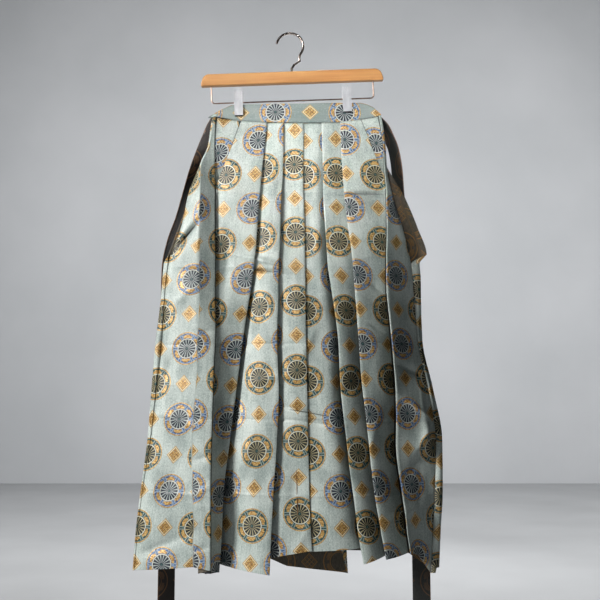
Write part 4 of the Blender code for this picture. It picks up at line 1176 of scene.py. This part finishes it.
def waistband(name, reach, middle_depth, rise, hand):
    first, last = reach
    stations = round((last - first) / BAND_DRAWN_STEP)
    rings = []
    for i in range(stations + 1):
        x = first + (last - first) * i / stations
        low = band_foot(x) + rise
        high = straight(BAND_TOP_EDGE, x) + rise
        if name == "waistband_back" and x > 0:
            high = max(high, BACK_BAND_LOW_TOP + rise)
        puff = BAND_PUFF * math.sin(x * PUFF_TURNS[0] + hand) * math.sin(x * PUFF_TURNS[1])
        worn = 1.0 if x < BAND_WORN[0] or x > BAND_WORN[1] else LITTLE_WORN
        turned = 0.5 if x < BAND_TURN else 0.0
        ring = []
        for across, through in flat_ring(BAND_RING, BAND_ROUNDNESS):
            z = (low + high) / 2 + (high - low) / 2 * across
            point = (x, middle_depth(x) + through * (BAND / 2 + puff * (1 - across * across)), z)
            place = (LATTICE_X * (1 + turned) + (z - BAND_ROW) * (1 - turned),
                     LATTICE_Z * (1 + turned + (max(x, BAND_TURN) - BAND_ROUNDEL) / BAND_PITCH))
            ring.append((point, place, worn * (across > EDGE_SHARE)))
        rings.append(ring)
    return ring_mesh(name + "_cloth", rings, MATERIALS["band"])


def front_band_depth(x):
    return -BAND_OFFSET - bow(x)


def back_band_depth(x):
    return BAND_OFFSET + bow(x) + spread(x)


def strap(name, stations, material):
    """A tie of doubled brocade through stations, each its outer and its inner edge, smoothly joined."""
    heights = [outer.z for outer, _ in stations]
    curves = [[Curve([(z, edge[k]) for z, edge in zip(heights, edges)]) for k in (0, 1)]
              for edges in zip(*stations)]
    count = round((heights[0] - heights[-1]) / TIE_STEP)
    centres = []
    for i in range(count + 1):
        z = heights[0] + (heights[-1] - heights[0]) * i / count
        centres.append([Vector((curve[0](z), curve[1](z), z)) for curve in curves])
    rings = []
    for i, (outer, inner) in enumerate(centres):
        before = centres[max(i - 1, 0)]
        after = centres[min(i + 1, count)]
        across = (inner - outer).normalized()
        run = (sum(after, Vector()) - sum(before, Vector())).normalized()
        normal = across.cross(run).normalized()
        middle = (outer + inner) / 2
        half = (inner - outer).length / 2
        ring = []
        for side, through in flat_ring(TIE_RING, TIE_ROUNDNESS):
            point = middle + across * half * side + normal * (STRAP / 2 * through)
            ring.append((tuple(point), (half * side + LATTICE_X / 2, -middle.z), float(side < -EDGE_SHARE)))
        rings.append(ring)
    return ring_mesh(name + "_cloth", rings, material)


def front_tie(name):
    hand = HALVES[name]["hand"]
    stations = []
    for row in LEFT_TIE if name == "left" else RIGHT_TIE:
        place = dict(zip(TIE, row))
        angle = math.radians(place["turn"])
        outer = Vector((hand * place["reach"], place["depth"], place["z"])) * MM
        width = Vector((-hand * math.cos(angle), math.sin(angle), 0)) * STRAP_WIDTH
        stations.append((outer, outer + width))
    return strap("tie_front_" + name, stations, MATERIALS["tie_" + name])


def back_tie(name):
    middle = BACK_TIE_MIDDLE[name]
    sides = (middle - STRAP_WIDTH / 2, middle + STRAP_WIDTH / 2)
    band = BAND / 2 + max(back_band_depth(x) for x in sides)
    levels = [BACK_TIE_TOP[name], band_foot(middle)]
    levels += [row[0] * MM for row in LEFT_BACK if BACK_TIE_END + BACK_TIE_FREE < row[0] * MM <= FIRST_LEVEL]
    levels.append(BACK_TIE_END)
    stations = []
    for z in levels:
        station = []
        for x in sides:
            behind = band
            if z <= FIRST_LEVEL:
                behind = rear_depth(rear_knots(name, z), -HALVES[name]["hand"] * x) + CLOTH / 2 + TIE_STANDOFF
            station.append(Vector((x, behind + SEAM_GAP + STRAP / 2, z)))
        stations.append(station)
    return strap("tie_back_" + name, stations, MATERIALS["brocade"])


def gusset():
    """The inner leg pieces: two walls from the fronts to the backs that meet over the crotch."""
    gap = CLOTH / 2 + SEAM_GAP
    stations = []

    def limits(name, z):
        rear = back_value("right", z, "rear_centre")
        if name == "left":
            return centre_tuck_depth(z, centre_end("left", z)) + gap, rear + SEAM_GAP - gap + CLOTH
        return centre_seam_depth(z) + gap, rear - gap

    count = round((CROTCH - GUSSET_FOOT) / ROW_STEP / 2)
    levels = [GUSSET_FOOT + (CROTCH - CROTCH_EASE - GUSSET_FOOT) * i / count for i in range(count + 1)]
    for z in levels:
        stations.append((centre_end("left", z), z, *limits("left", z)))
    x0 = centre_end("left", CROTCH)
    x1 = -centre_end("right", CROTCH)
    radius = (x1 - x0) / 2
    near = max(limits("left", CROTCH)[0], limits("right", CROTCH)[0])
    far = min(limits("left", CROTCH)[1], limits("right", CROTCH)[1])
    for degrees in range(180, -1, -CROTCH_TURN):
        angle = math.radians(degrees)
        x = x0 + radius + radius * math.cos(angle)
        stations.append((x, CROTCH + radius * math.sin(angle), near, far))
    for z in reversed(levels):
        stations.append((-centre_end("right", z), z, *limits("right", z)))
    rows = []
    pattern = []
    length = 0.0
    for i, (x, z, y0, y1) in enumerate(stations):
        if i:
            length += math.hypot(x - stations[i - 1][0], z - stations[i - 1][1])
        rows.append([(x, y0 + (y1 - y0) * k / GUSSET_STEPS, z) for k in range(GUSSET_STEPS + 1)])
        pattern.append([((y1 - y0) * k / GUSSET_STEPS, length) for k in range(GUSSET_STEPS + 1)])
    return sheet_mesh("crotch_gusset_cloth", np.array(rows), np.array(pattern), False)


# ---- the hanger ----

def hung(item):
    """Turns a piece of the hanger with it, about the hook's crown."""
    item.rotation_euler = (0, TILT, 0)
    return item


def tube(name, points, radius, material, sides=4):
    curve = bpy.data.curves.new(name, "CURVE")
    curve.dimensions = "3D"
    curve.bevel_depth = radius
    curve.bevel_resolution = sides
    curve.use_fill_caps = True
    spline = curve.splines.new("POLY")
    spline.points.add(len(points) - 1)
    for target, point in zip(spline.points, points):
        target.co = (*point, 1)
    spline.use_smooth = True
    curve.materials.append(material)
    return hung(add_object(name, curve))


def arc(centre, radius, first, last, count):
    """Points on an arc in the hanger's plane, angles in degrees from +X toward +Z."""
    points = []
    for i in range(count + 1):
        angle = math.radians(first + (last - first) * i / count)
        points.append((centre[0] + radius * math.cos(angle), 0, centre[1] + radius * math.sin(angle)))
    return points


def hook():
    """From the tip over the crown and round the right side, then back through the neck into the stem."""
    crown = arc((0, HOOK_CENTRE), HOOK_RADIUS, HOOK_TIP_ANGLE, HOOK_NECK_ANGLE, HOOK_STEPS)
    angle = math.radians(HOOK_NECK_ANGLE)
    neck_centre = (crown[-1][0] + NECK_RADIUS * math.cos(angle), crown[-1][2] + NECK_RADIUS * math.sin(angle))
    neck = arc(neck_centre, NECK_RADIUS, HOOK_NECK_ANGLE + 180, NECK_END_ANGLE, NECK_STEPS)[1:]
    neck_x, _, neck_z = neck[-1]
    ease = (MIDDLE + STEM_EASE * (neck_x - MIDDLE), 0, neck_z - STEM_DROP / 2)
    stem = [ease, (MIDDLE, 0, neck_z - STEM_DROP), (MIDDLE, 0, BAR_TOP - STEM_DEPTH)]
    return tube("hook_wire", crown + neck + stem, HOOK_WIRE, MATERIALS["steel"])


def trapeze():
    left = MIDDLE - TRAPEZE_HALF
    right = MIDDLE + TRAPEZE_HALF
    foot = BAR_TOP - BAR_HEIGHT
    low = TRAPEZE_DROP + TRAPEZE_CORNER
    points = [(left, 0, foot + WIRE_DEPTH), (left, 0, foot - TRAPEZE_EXIT)]
    points += arc((left + TRAPEZE_CORNER, low), TRAPEZE_CORNER, 180, 270, TRAPEZE_STEPS)
    points += arc((right - TRAPEZE_CORNER, low), TRAPEZE_CORNER, 270, 360, TRAPEZE_STEPS)
    points += [(right, 0, foot - TRAPEZE_EXIT), (right, 0, foot + WIRE_DEPTH)]
    return tube("trapeze_steel", points, TRAPEZE_WIRE, MATERIALS["copper_steel"])


def bar():
    foot = BAR_TOP - BAR_HEIGHT
    half = BAR_LENGTH / 2
    shoulder = (BAR_LENGTH - BAR_TOP_LENGTH) / 2
    start, end = CORNER_ANGLES
    outline = [(-half, foot), (-half, foot + CHEEK_SHARE * BAR_CHEEK)]
    for i in range(BAR_CORNER_STEPS + 1):
        angle = math.radians(start + (end - start) * i / BAR_CORNER_STEPS)
        outline.append((-half + shoulder + (shoulder - CORNER_INSET) * math.cos(angle),
                        foot + BAR_CHEEK + (BAR_HEIGHT - BAR_CHEEK) * math.sin(angle)))
    outline += [(-x, z) for x, z in reversed(outline)]
    bm = bmesh.new()
    sides = [[bm.verts.new((MIDDLE + x, y, z)) for x, z in outline]
             for y in (-BAR_THICKNESS / 2, BAR_THICKNESS / 2)]
    for side in sides:
        bm.faces.new(side)
    for i in range(len(outline)):
        j = (i + 1) % len(outline)
        bm.faces.new((sides[0][i], sides[0][j], sides[1][j], sides[1][i]))
    bmesh.ops.recalc_face_normals(bm, faces=bm.faces)
    item = new_piece("hanger_bar_wood", bm, MATERIALS["wood"])
    bevel = round_edges(item, BAR_ROUND, 4)
    bevel.angle_limit = math.radians(SMOOTH_ANGLE)
    bevel.harden_normals = True
    return hung(item)


def filled(mesh, bm, material, smooth_angle):
    """The mesh with what was built in bm, smooth up to an angle in degrees."""
    bm.to_mesh(mesh)
    bm.free()
    mesh.shade_smooth()
    mesh.set_sharp_from_angle(angle=math.radians(smooth_angle))
    mesh.materials.append(material)
    return mesh


def new_piece(name, bm, material, smooth_angle=SMOOTH_ANGLE):
    return add_object(name, filled(bpy.data.meshes.new(name), bm, material, smooth_angle))


def round_edges(item, width, segments):
    bevel = item.modifiers.new("rounded_edges", "BEVEL")
    bevel.width = width
    bevel.segments = segments
    return bevel


def add_box(bm, low, high):
    made = bmesh.ops.create_cube(bm, size=1.0)
    size = [abs(b - a) for a, b in zip(low, high)]
    middle = [(a + b) / 2 for a, b in zip(low, high)]
    for vert in made["verts"]:
        vert.co = Vector([m + c * s for m, c, s in zip(middle, vert.co, size)])


def jaw(name, centre, face, outward, ear_inset):
    """A pressed plate with three rows of slots, ribs below them and an ear at each side on the wire."""
    bm = bmesh.new()
    half = CLIP_WIDTH / 2
    outer = face + outward * CLIP_METAL
    add_box(bm, (centre - half, face, CLIP_BOTTOM), (centre + half, outer, CLIP_TOP))
    ear_centre = half - ear_inset - CLIP_METAL / 2
    for side in (-1, 1):
        x = centre + side * ear_centre
        add_box(bm, (x - CLIP_METAL / 2, face + outward * CLIP_METAL / 3, TRAPEZE_DROP - EAR_HALF),
                (x + CLIP_METAL / 2, -outward * (TRAPEZE_WIRE + EAR_REACH), TRAPEZE_DROP + EAR_HALF))

    def raised(across, half_width, low, high):
        add_box(bm, (centre + across - half_width, outer - outward * RAISED_SINK, low),
                (centre + across + half_width, outer + outward * RIB_HEIGHT, high))

    for i in range(SLOT_ROWS):
        z = CLIP_TOP - SLOT_FIRST - i * SLOT_PITCH
        for j in range(SLOTS):
            raised((j - (SLOTS - 1) / 2) * SLOT_PITCH, SLOT_HALF, z - SLOT_HALF / 2, z + SLOT_HALF / 2)
    for j in range(RIBS):
        raised((j - (RIBS - 1) / 2) * RIB_PITCH, RIB_HALF, CLIP_BOTTOM + RIB_FOOT, CLIP_TOP - RIB_TOP)
    item = new_piece(name, bm, MATERIALS["polished"], PLATE_SMOOTH_ANGLE)
    round_edges(item, PLATE_ROUND, 2)
    return hung(item)


def clip(name, side):
    """Two jaws and two pads, and the coil between them round the trapeze wire."""
    centre = MIDDLE + side * CLIP_REACH
    cloth_face = BAND_OFFSET + BAND / 2 + BITE_GAP
    pad_out = cloth_face + CLIP_PAD
    half = CLIP_WIDTH / 2 - PAD_INSET
    low = CLIP_BOTTOM - PAD_DROP
    made = {}
    for label, outward, inset in (("front", -1, 0.0), ("back", 1, CLIP_METAL + SEAM_GAP)):
        face = outward * (pad_out + SEAM_GAP)
        plate = jaw("clip_%s_%s_plate" % (name, label), centre, face, outward, inset)
        made["clip_%s_jaw_%s" % (name, label)] = plate
        bm = bmesh.new()
        add_box(bm, (centre - half, outward * cloth_face, low),
                (centre + half, outward * pad_out, low + PAD_HEIGHT))
        pad = new_piece("clip_%s_%s_rubber" % (name, label), bm, MATERIALS["rubber"])
        round_edges(pad, PAD_ROUND, 2)
        made["clip_%s_pad_%s" % (name, label)] = hung(pad)
    radius = SPRING_RADIUS - SPRING_WIRE
    steps = SPRING_TURNS * SPRING_STEPS
    coil = []
    for i in range(steps + 1):
        angle = math.tau * i / SPRING_STEPS
        x = centre - CLIP_WIDTH / 4 + CLIP_WIDTH / 2 * i / steps
        coil.append((x, radius * math.cos(angle), TRAPEZE_DROP + radius * math.sin(angle)))
    made["clip_%s_spring" % name] = tube("clip_%s_coil" % name, coil, SPRING_WIRE, MATERIALS["polished"], 2)
    return made


# ---- materials ----

def operation(name):
    """The arithmetic of two values, as one of the nodes' operations."""
    return lambda value, other: value.math(name, other)


class Value:
    """A number in a material's nodes, built up by arithmetic."""

    def __init__(self, tree, socket):
        self.tree, self.socket = tree, socket

    def math(self, name, *others):
        node = self.tree.nodes.new("ShaderNodeMath")
        node.operation = name
        for target, value in zip(node.inputs, (self, *others)):
            if isinstance(value, Value):
                self.tree.links.new(value.socket, target)
            else:
                target.default_value = value
        return Value(self.tree, node.outputs[0])

    __add__ = operation("ADD")
    __sub__ = operation("SUBTRACT")
    __mul__ = operation("MULTIPLY")
    __truediv__ = operation("DIVIDE")

    def __rsub__(self, other):
        return self * -1.0 + other

    def centred(self, period):
        """The distance from the nearest multiple of the period, with its sign."""
        return self.math("WRAP", period / 2, -period / 2)

    def above(self, limit, soft):
        """0 below the limit and 1 above it, with a soft step."""
        node = self.tree.nodes.new("ShaderNodeMapRange")
        node.interpolation_type = "SMOOTHSTEP"
        self.tree.links.new(self.socket, node.inputs["Value"])
        node.inputs["From Min"].default_value = limit - soft
        node.inputs["From Max"].default_value = limit + soft
        return Value(self.tree, node.outputs["Result"])

    def between(self, low, high, soft):
        return self.above(low, soft) * (1.0 - self.above(high, soft))


def new_material(name, roughness, metallic=0.0):
    item = bpy.data.materials.new(name)
    item.use_nodes = True
    shader = item.node_tree.nodes["Principled BSDF"]
    shader.inputs["Roughness"].default_value = roughness
    shader.inputs["Metallic"].default_value = metallic
    return item, item.node_tree, shader


def paint(tree, shader, tint):
    tree.links.new(tint, shader.inputs["Base Color"])


def object_place(tree):
    return tree.nodes.new("ShaderNodeTexCoord").outputs["Object"]


def mix(tree, share, low, high):
    """A colour between two colours, each a socket or its screen values."""
    node = tree.nodes.new("ShaderNodeMix")
    node.data_type = "RGBA"
    for socket, value in ((node.inputs[0], share), (node.inputs[6], low), (node.inputs[7], high)):
        if isinstance(value, tuple):
            socket.default_value = (*colour(*value), 1)
        elif isinstance(value, Value):
            tree.links.new(value.socket, socket)
        else:
            tree.links.new(value, socket)
    return node.outputs[2]


def lay(tree, base, *layers):
    """Colours laid over a base one after another, each with its share."""
    for share, tint in layers:
        base = mix(tree, share, base, tint)
    return base


def colour(red, green, blue):
    """A colour from its 0-255 screen values."""
    def linear(value):
        value /= 255
        return value / 12.92 if value <= 0.04045 else ((value + 0.055) / 1.055) ** 2.4
    return (linear(red), linear(green), linear(blue))


def noise(tree, vector, scale, detail=2.0, stretch=(1, 1, 1)):
    mapping = tree.nodes.new("ShaderNodeMapping")
    mapping.inputs["Scale"].default_value = stretch
    tree.links.new(vector, mapping.inputs["Vector"])
    node = tree.nodes.new("ShaderNodeTexNoise")
    node.inputs["Scale"].default_value = scale
    node.inputs["Detail"].default_value = detail
    tree.links.new(mapping.outputs[0], node.inputs["Vector"])
    return Value(tree, node.outputs[0])


def map_sockets(tree, name):
    """The places in one of the cloth's maps, together and apart."""
    uv = tree.nodes.new("ShaderNodeUVMap")
    uv.uv_map = name
    parts = tree.nodes.new("ShaderNodeSeparateXYZ")
    tree.links.new(uv.outputs[0], parts.inputs[0])
    return uv.outputs[0], Value(tree, parts.outputs[0]), Value(tree, parts.outputs[1])


def bump(tree, shader, height, distance):
    node = tree.nodes.new("ShaderNodeBump")
    node.inputs["Distance"].default_value = distance
    tree.links.new(height.socket, node.inputs["Height"])
    tree.links.new(node.outputs[0], shader.inputs["Normal"])


def motifs(u, v):
    """Masks of the woven pattern: roundels with a wheel, and lozenges between them."""
    period_x, period_z = 2 * LATTICE_X, 2 * LATTICE_Z
    ax, ay = u.centred(period_x), v.centred(period_z)
    bx, by = (u - LATTICE_X).centred(period_x), (v - LATTICE_Z).centred(period_z)

    # the nearer of the two roundels
    first = (ax * ax + ay * ay).math("SQRT")
    second = (bx * bx + by * by).math("SQRT")
    blue = first.math("GREATER_THAN", second)
    x = ax + (bx - ax) * blue
    y = ay + (by - ay) * blue
    radius = first.math("MINIMUM", second)
    share = radius / ROUNDEL_RADIUS
    edge = THREAD_SOFTNESS / ROUNDEL_RADIUS
    angle = y.math("ARCTAN2", x) / math.radians(1)

    disc = 1.0 - share.above(1.0, edge)
    outline = share.between(*OUTLINE, edge)
    inner_line = share.between(*INNER_LINE, edge)
    off_block = (angle - BLOCK_PITCH / 2).centred(BLOCK_PITCH).math("ABSOLUTE")
    foot = (1.0 - off_block.above(*FOOT_ANGLE)) * share.between(*BLOCK_FOOT, edge)
    head = (1.0 - off_block.above(*HEAD_ANGLE)) * share.between(*BLOCK_HEAD, edge)
    blocks = foot.math("MAXIMUM", head)
    ticks = off_block.between(*TICK_ANGLES) * share.between(*TICK, edge)
    ring = share.between(*WHITE_RING, edge)
    off_petal = angle.centred(SPOKE_PITCH).math("ABSOLUTE")
    spokes = off_petal.above(*SPOKE_GAP) * share.between(*SPOKE, edge)
    hub = 1.0 - share.above(HUB, edge)
    wheel = 1.0 - share.above(RING, edge)

    # the nearer of the two lozenges, as a share of its size from its middle
    def lozenge_share(x, y):
        return x.math("ABSOLUTE") / LOZENGE_X + y.math("ABSOLUTE") / LOZENGE_Z

    nearer = lozenge_share(bx, ay).math("MINIMUM", lozenge_share(ax, by))
    lozenge = 1.0 - nearer.above(1.0, LOZENGE_SOFTNESS)
    frame_line = nearer.between(*LOZENGE_FRAME, LOZENGE_SOFTNESS)
    field = 1.0 - nearer.above(LOZENGE_FIELD, LOZENGE_SOFTNESS)
    swap = lozenge_share(bx, ay).math("GREATER_THAN", lozenge_share(ax, by))
    lx = bx + (ax - bx) * swap
    ly = ay + (by - ay) * swap
    along = (lx / LOZENGE_X + ly / LOZENGE_Z).centred(DIAMOND).math("ABSOLUTE")
    across = (lx / LOZENGE_X - ly / LOZENGE_Z).centred(DIAMOND).math("ABSOLUTE")
    grooves = along.math("MAXIMUM", across).above(*GROOVE) * field
    dots = (1.0 - (along + across).above(*DOT)) * field
    return {"disc": disc, "blue": blue, "outline": outline, "inner_line": inner_line, "blocks": blocks,
            "ticks": ticks, "ring": ring, "spokes": spokes, "hub": hub, "wheel": wheel,
            "lozenge": lozenge, "frame": frame_line, "field": field, "dots": dots, "grooves": grooves}


def brocade(name, across):
    """Satin ground with teal and blue roundels in gold, seen from its right side."""
    item, tree, shader = new_material(name, 0.5)
    uv, u, v = map_sockets(tree, "pattern")
    masks = motifs(u, v)
    fleck = noise(tree, uv, *FLECK)
    streak = noise(tree, uv, *STREAK)
    pick = noise(tree, uv, *PICK)
    cloud = noise(tree, uv, *CLOUD)
    painted_sheen = noise(tree, uv, *PAINTED_SHEEN)
    ground = lay(tree, mix(tree, fleck.above(0.46, 0.2), GROUND_DARK, GROUND_LIGHT),
                 (streak.above(0.55, 0.14) * 0.25, GROUND_PALE_AND_HIGHLIGHT),
                 ((1.0 - streak.above(0.40, 0.08)) * 0.2, GROUND_DARK),
                 (cloud * 0.2, GROUND_WARM),
                 # painted sheen: pale patches of painted highlight and deep patches of painted shade
                 (painted_sheen.above(0.58, 0.12) * 0.35, GROUND_PALE_AND_HIGHLIGHT),
                 ((1.0 - painted_sheen.above(0.42, 0.12)) * 0.4, GROUND_PAINTED_SHADE))
    if across:  # cut across the cloth, its satin floats catch less light: painted shade darkens its ground
        ground = mix(tree, fleck * 0.5 + 0.42, ground, GROUND_PAINTED_SHADE)

    # the thread colours of the roundels, each in short floats of two tones
    tone = pick.above(0.5, 0.12)
    band = mix(tree, masks["blue"], mix(tree, tone, *TEAL_TONES), mix(tree, tone, *BLUE_TONES))
    gold = mix(tree, tone, GOLD_BROWN, GOLD)
    gold_share = masks["blocks"].math("MAXIMUM", masks["outline"])
    _, inside, edge = map_sockets(tree, "pleats")
    paint(tree, shader, lay(
        tree, ground,
        (masks["disc"], band),
        (masks["inner_line"] * 0.45, GROUND_LIGHT),
        (masks["ticks"] * 0.6, GROUND_LIGHT),
        (masks["wheel"], mix(tree, masks["blue"], *WHEEL_TONES)),
        (masks["spokes"] * 0.85, mix(tree, masks["blue"], CREAM, GROUND_LIGHT)),
        (gold_share, gold),
        (masks["hub"] * 0.7, TEAL_TONES[1]),
        (masks["ring"], RING_WHITE),
        (masks["lozenge"] * 0.9, GOLD_PALE),
        (masks["field"], gold),
        (masks["frame"] * 0.8, GOLD_BROWN),
        (masks["grooves"] * 0.8, GOLD_DARK),
        (masks["dots"] * 0.5, GOLD_DARK),
        (fleck.above(0.64, 0.06) * 0.25, GROUND_PALE_AND_HIGHLIGHT),
        (edge.above(0.5, 0.3) * 0.85, RIM_TONES[1]),
        # painted shade inside the pleats and closed creases, where no light comes
        (inside.above(0.5, 0.3) * 0.94, PLEAT_PAINTED_SHADE)))

    golden = gold_share.math("MAXIMUM", masks["field"]).math("MAXIMUM", masks["frame"])
    tree.links.new((golden * 0.2).socket, shader.inputs["Metallic"])
    roughness = 0.44 - golden * 0.08
    tree.links.new(roughness.socket, shader.inputs["Roughness"])
    shader.inputs["Specular IOR Level"].default_value = 0.55
    weave = (u * (math.tau / WEFT)).math("SINE") * (v * (math.tau / WEFT)).math("SINE")
    height = weave * 0.25 + masks["disc"] * 0.6 + masks["lozenge"] * 0.6 + golden * 0.5 + fleck * 0.9
    bump(tree, shader, height, THREAD_HEIGHT)
    return item


def wrong_side(name, roughness, tones, gold, gold_share, blocks, grooves=0.0):
    """Dark floats with the gold showing in thin lines: the brocade's wrong side, and the ties, whose tones
    carry painted shade.
    """
    item, tree, shader = new_material(name, roughness)
    uv, u, v = map_sockets(tree, "pattern")
    masks = motifs(u, v)
    fleck = noise(tree, uv, *REVERSE_FLECK)
    lines = masks["outline"].math("MAXIMUM", masks["ring"]).math("MAXIMUM", masks["frame"])
    lines = lines.math("MAXIMUM", masks["blocks"] * blocks).math("MAXIMUM", masks["grooves"] * grooves)
    worn = map_sockets(tree, "pleats")[2].above(0.5, 0.3)
    paint(tree, shader, lay(tree, mix(tree, fleck.above(0.5, 0.3), *tones),
                            (lines * gold_share, gold), (worn * 0.8, RIM_TONES[0])))
    bump(tree, shader, fleck, THREAD_HEIGHT)
    return item


def rim():
    """The turned edge, where the gold and brown threads show as a coppery line."""
    item, tree, shader = new_material("brocade_rim", 0.5)
    paint(tree, shader, mix(tree, noise(tree, object_place(tree), 400.0), *RIM_TONES))
    return item


def wood():
    """Varnished honey wood with its grain along the bar."""
    item, tree, shader = new_material("honey_wood", 0.38)
    place = object_place(tree)
    grain = noise(tree, place, *WOOD_GRAIN)
    fine = noise(tree, place, *WOOD_FINE)
    figure = noise(tree, place, *WOOD_FIGURE)
    paint(tree, shader, lay(tree, mix(tree, grain.above(0.5, 0.25), *WOOD_TONES),
                            (fine * 0.25, WOOD_DEEP), (figure * 0.3, WOOD_TONES[0])))
    shader.inputs["Coat Weight"].default_value = 0.35
    shader.inputs["Coat Roughness"].default_value = 0.2
    bump(tree, shader, fine, 0.05 * MM)
    return item


def metal(name, tones, roughness, metallic=1.0):
    item, tree, shader = new_material(name, roughness, metallic)
    smear = noise(tree, object_place(tree), 120.0, 2.0, (1.0, 1.0, 0.25))
    paint(tree, shader, mix(tree, smear, *tones))
    tree.links.new((smear * 0.12 + (roughness - 0.06)).socket, shader.inputs["Roughness"])
    return item


def rubber():
    item, tree, shader = new_material("black_rubber", 0.75)
    grain = noise(tree, object_place(tree), 1500.0)
    paint(tree, shader, mix(tree, grain, *RUBBER_TONES))
    bump(tree, shader, grain, 0.05 * MM)
    return item


def studio_surface(name, tones, scale):
    """Plain pale plaster, with faint clouds in it."""
    item, tree, shader = new_material(name, 0.9)
    cloud = noise(tree, object_place(tree), scale, 5.0)
    paint(tree, shader, mix(tree, cloud.above(0.5, 0.3), *tones))
    return item


# ---- the scene ----

def stage_plane(name, corners, material):
    mesh = bpy.data.meshes.new(name)
    mesh.from_pydata(corners, [], [(0, 1, 2, 3)])
    mesh.materials.append(material)
    item = add_object(name, mesh)


def area_light(name, place, target, size, power, tint, beam):
    lamp = bpy.data.lights.new(name, "AREA")
    lamp.shape = "RECTANGLE"
    lamp.size, lamp.size_y = size
    lamp.energy = power
    lamp.color = tint
    lamp.spread = math.radians(beam)
    item = add_object(name, lamp)
    item.location = place
    item.rotation_euler = (Vector(target) - Vector(place)).to_track_quat("-Z", "Y").to_euler()
    item.visible_camera = False


def set_stage():
    x, near, far, top = STAGE_HALF, STAGE_NEAR, WALL, STAGE_TOP
    stage_plane("floor", [(-x, near, FLOOR), (x, near, FLOOR), (x, far, FLOOR), (-x, far, FLOOR)],
                studio_surface("floor_plaster", FLOOR_TONES, 1.5))
    stage_plane("wall", [(-x, far, FLOOR), (x, far, FLOOR), (x, far, top), (-x, far, top)],
                studio_surface("wall_plaster", WALL_TONES, 0.7))
    world = bpy.data.worlds.new("studio")
    world.use_nodes = True
    sky = world.node_tree.nodes["Background"]
    sky.inputs["Color"].default_value = (*colour(*SKY), 1)
    sky.inputs["Strength"].default_value = SKY_STRENGTH
    bpy.context.scene.world = world
    bpy.context.scene.view_settings.view_transform = "Standard"
    for light in LIGHTS:
        area_light(*light)


def set_camera():
    data = bpy.data.cameras.new("camera")
    data.lens = LENS
    data.sensor_width = SENSOR
    item = add_object("camera", data)
    item.location = CAMERA
    item.rotation_euler = (math.radians(CAMERA_TILT), 0, 0)
    bpy.context.scene.camera = item


def dress(item, node):
    """Puts a piece in place of its node, which it hides."""
    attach(item, "root")
    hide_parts(node)


set_camera()
MATERIALS = {
    "brocade": brocade("brocade", False), "band": brocade("brocade_across", True), "rim": rim(),
    "reverse": wrong_side("brocade_reverse", 0.6, REVERSE_TONES, GOLD_BROWN, 0.85, 0.5, 1.0),
    # the left tie: the brocade's wrong side, darkened further with painted shade
    "tie_left": wrong_side("tie_reverse_shaded", 0.55, TIE_REVERSE_AND_SHADE_TONES, TIE_GOLD, 0.9, 0.6),
    # the right tie: green brocade painted dark, as painted shade
    "tie_right": wrong_side("tie_shade", 0.55, TIE_GREEN_PAINTED_SHADE_TONES, TIE_GOLD, 0.55, 0.6),
    "wood": wood(), "rubber": rubber(),
    "steel": metal("hook_steel", STEEL_TONES, 0.28),
    "copper_steel": metal("wire_steel", COPPER_TONES, 0.3),
    "polished": metal("clip_steel", POLISHED_TONES, 0.42, 0.6),
}
heights = section_heights()
for half_name, half in HALVES.items():
    fronts = [front_path(half, z) for z in heights]
    front = cloth("front_%s_cloth" % half_name, fronts, half["hand"], half["pattern"], front_relief)
    dress(thicken(front), "front_" + half_name)
    backs = [back_path(half_name, z) for z in heights]
    back = cloth("back_%s_cloth" % half_name, backs, half["hand"], BACK_PATTERN, back_relief,
                 BACK_BAND_RISE, faces_back=True)
    dress(thicken(back), "back_" + half_name)
    dress(front_tie(half_name), "tie_front_" + half_name)
    dress(back_tie(half_name), "tie_back_" + half_name)
dress(thicken(gusset()), "crotch_gusset")
dress(waistband("waistband_front", FRONT_BAND_REACH, front_band_depth, 0.0, 1), "waistband_front")
dress(waistband("waistband_back", BACK_BAND_REACH, back_band_depth, BACK_BAND_RISE, -1),
      "waistband_back")
dress(bar(), "hanger_bar")
dress(hook(), "hook")
dress(trapeze(), "trapeze_wire")
for clip_name, side in (("left", -1), ("right", 1)):
    for node, item in clip(clip_name, side).items():
        dress(item, node)

set_stage()
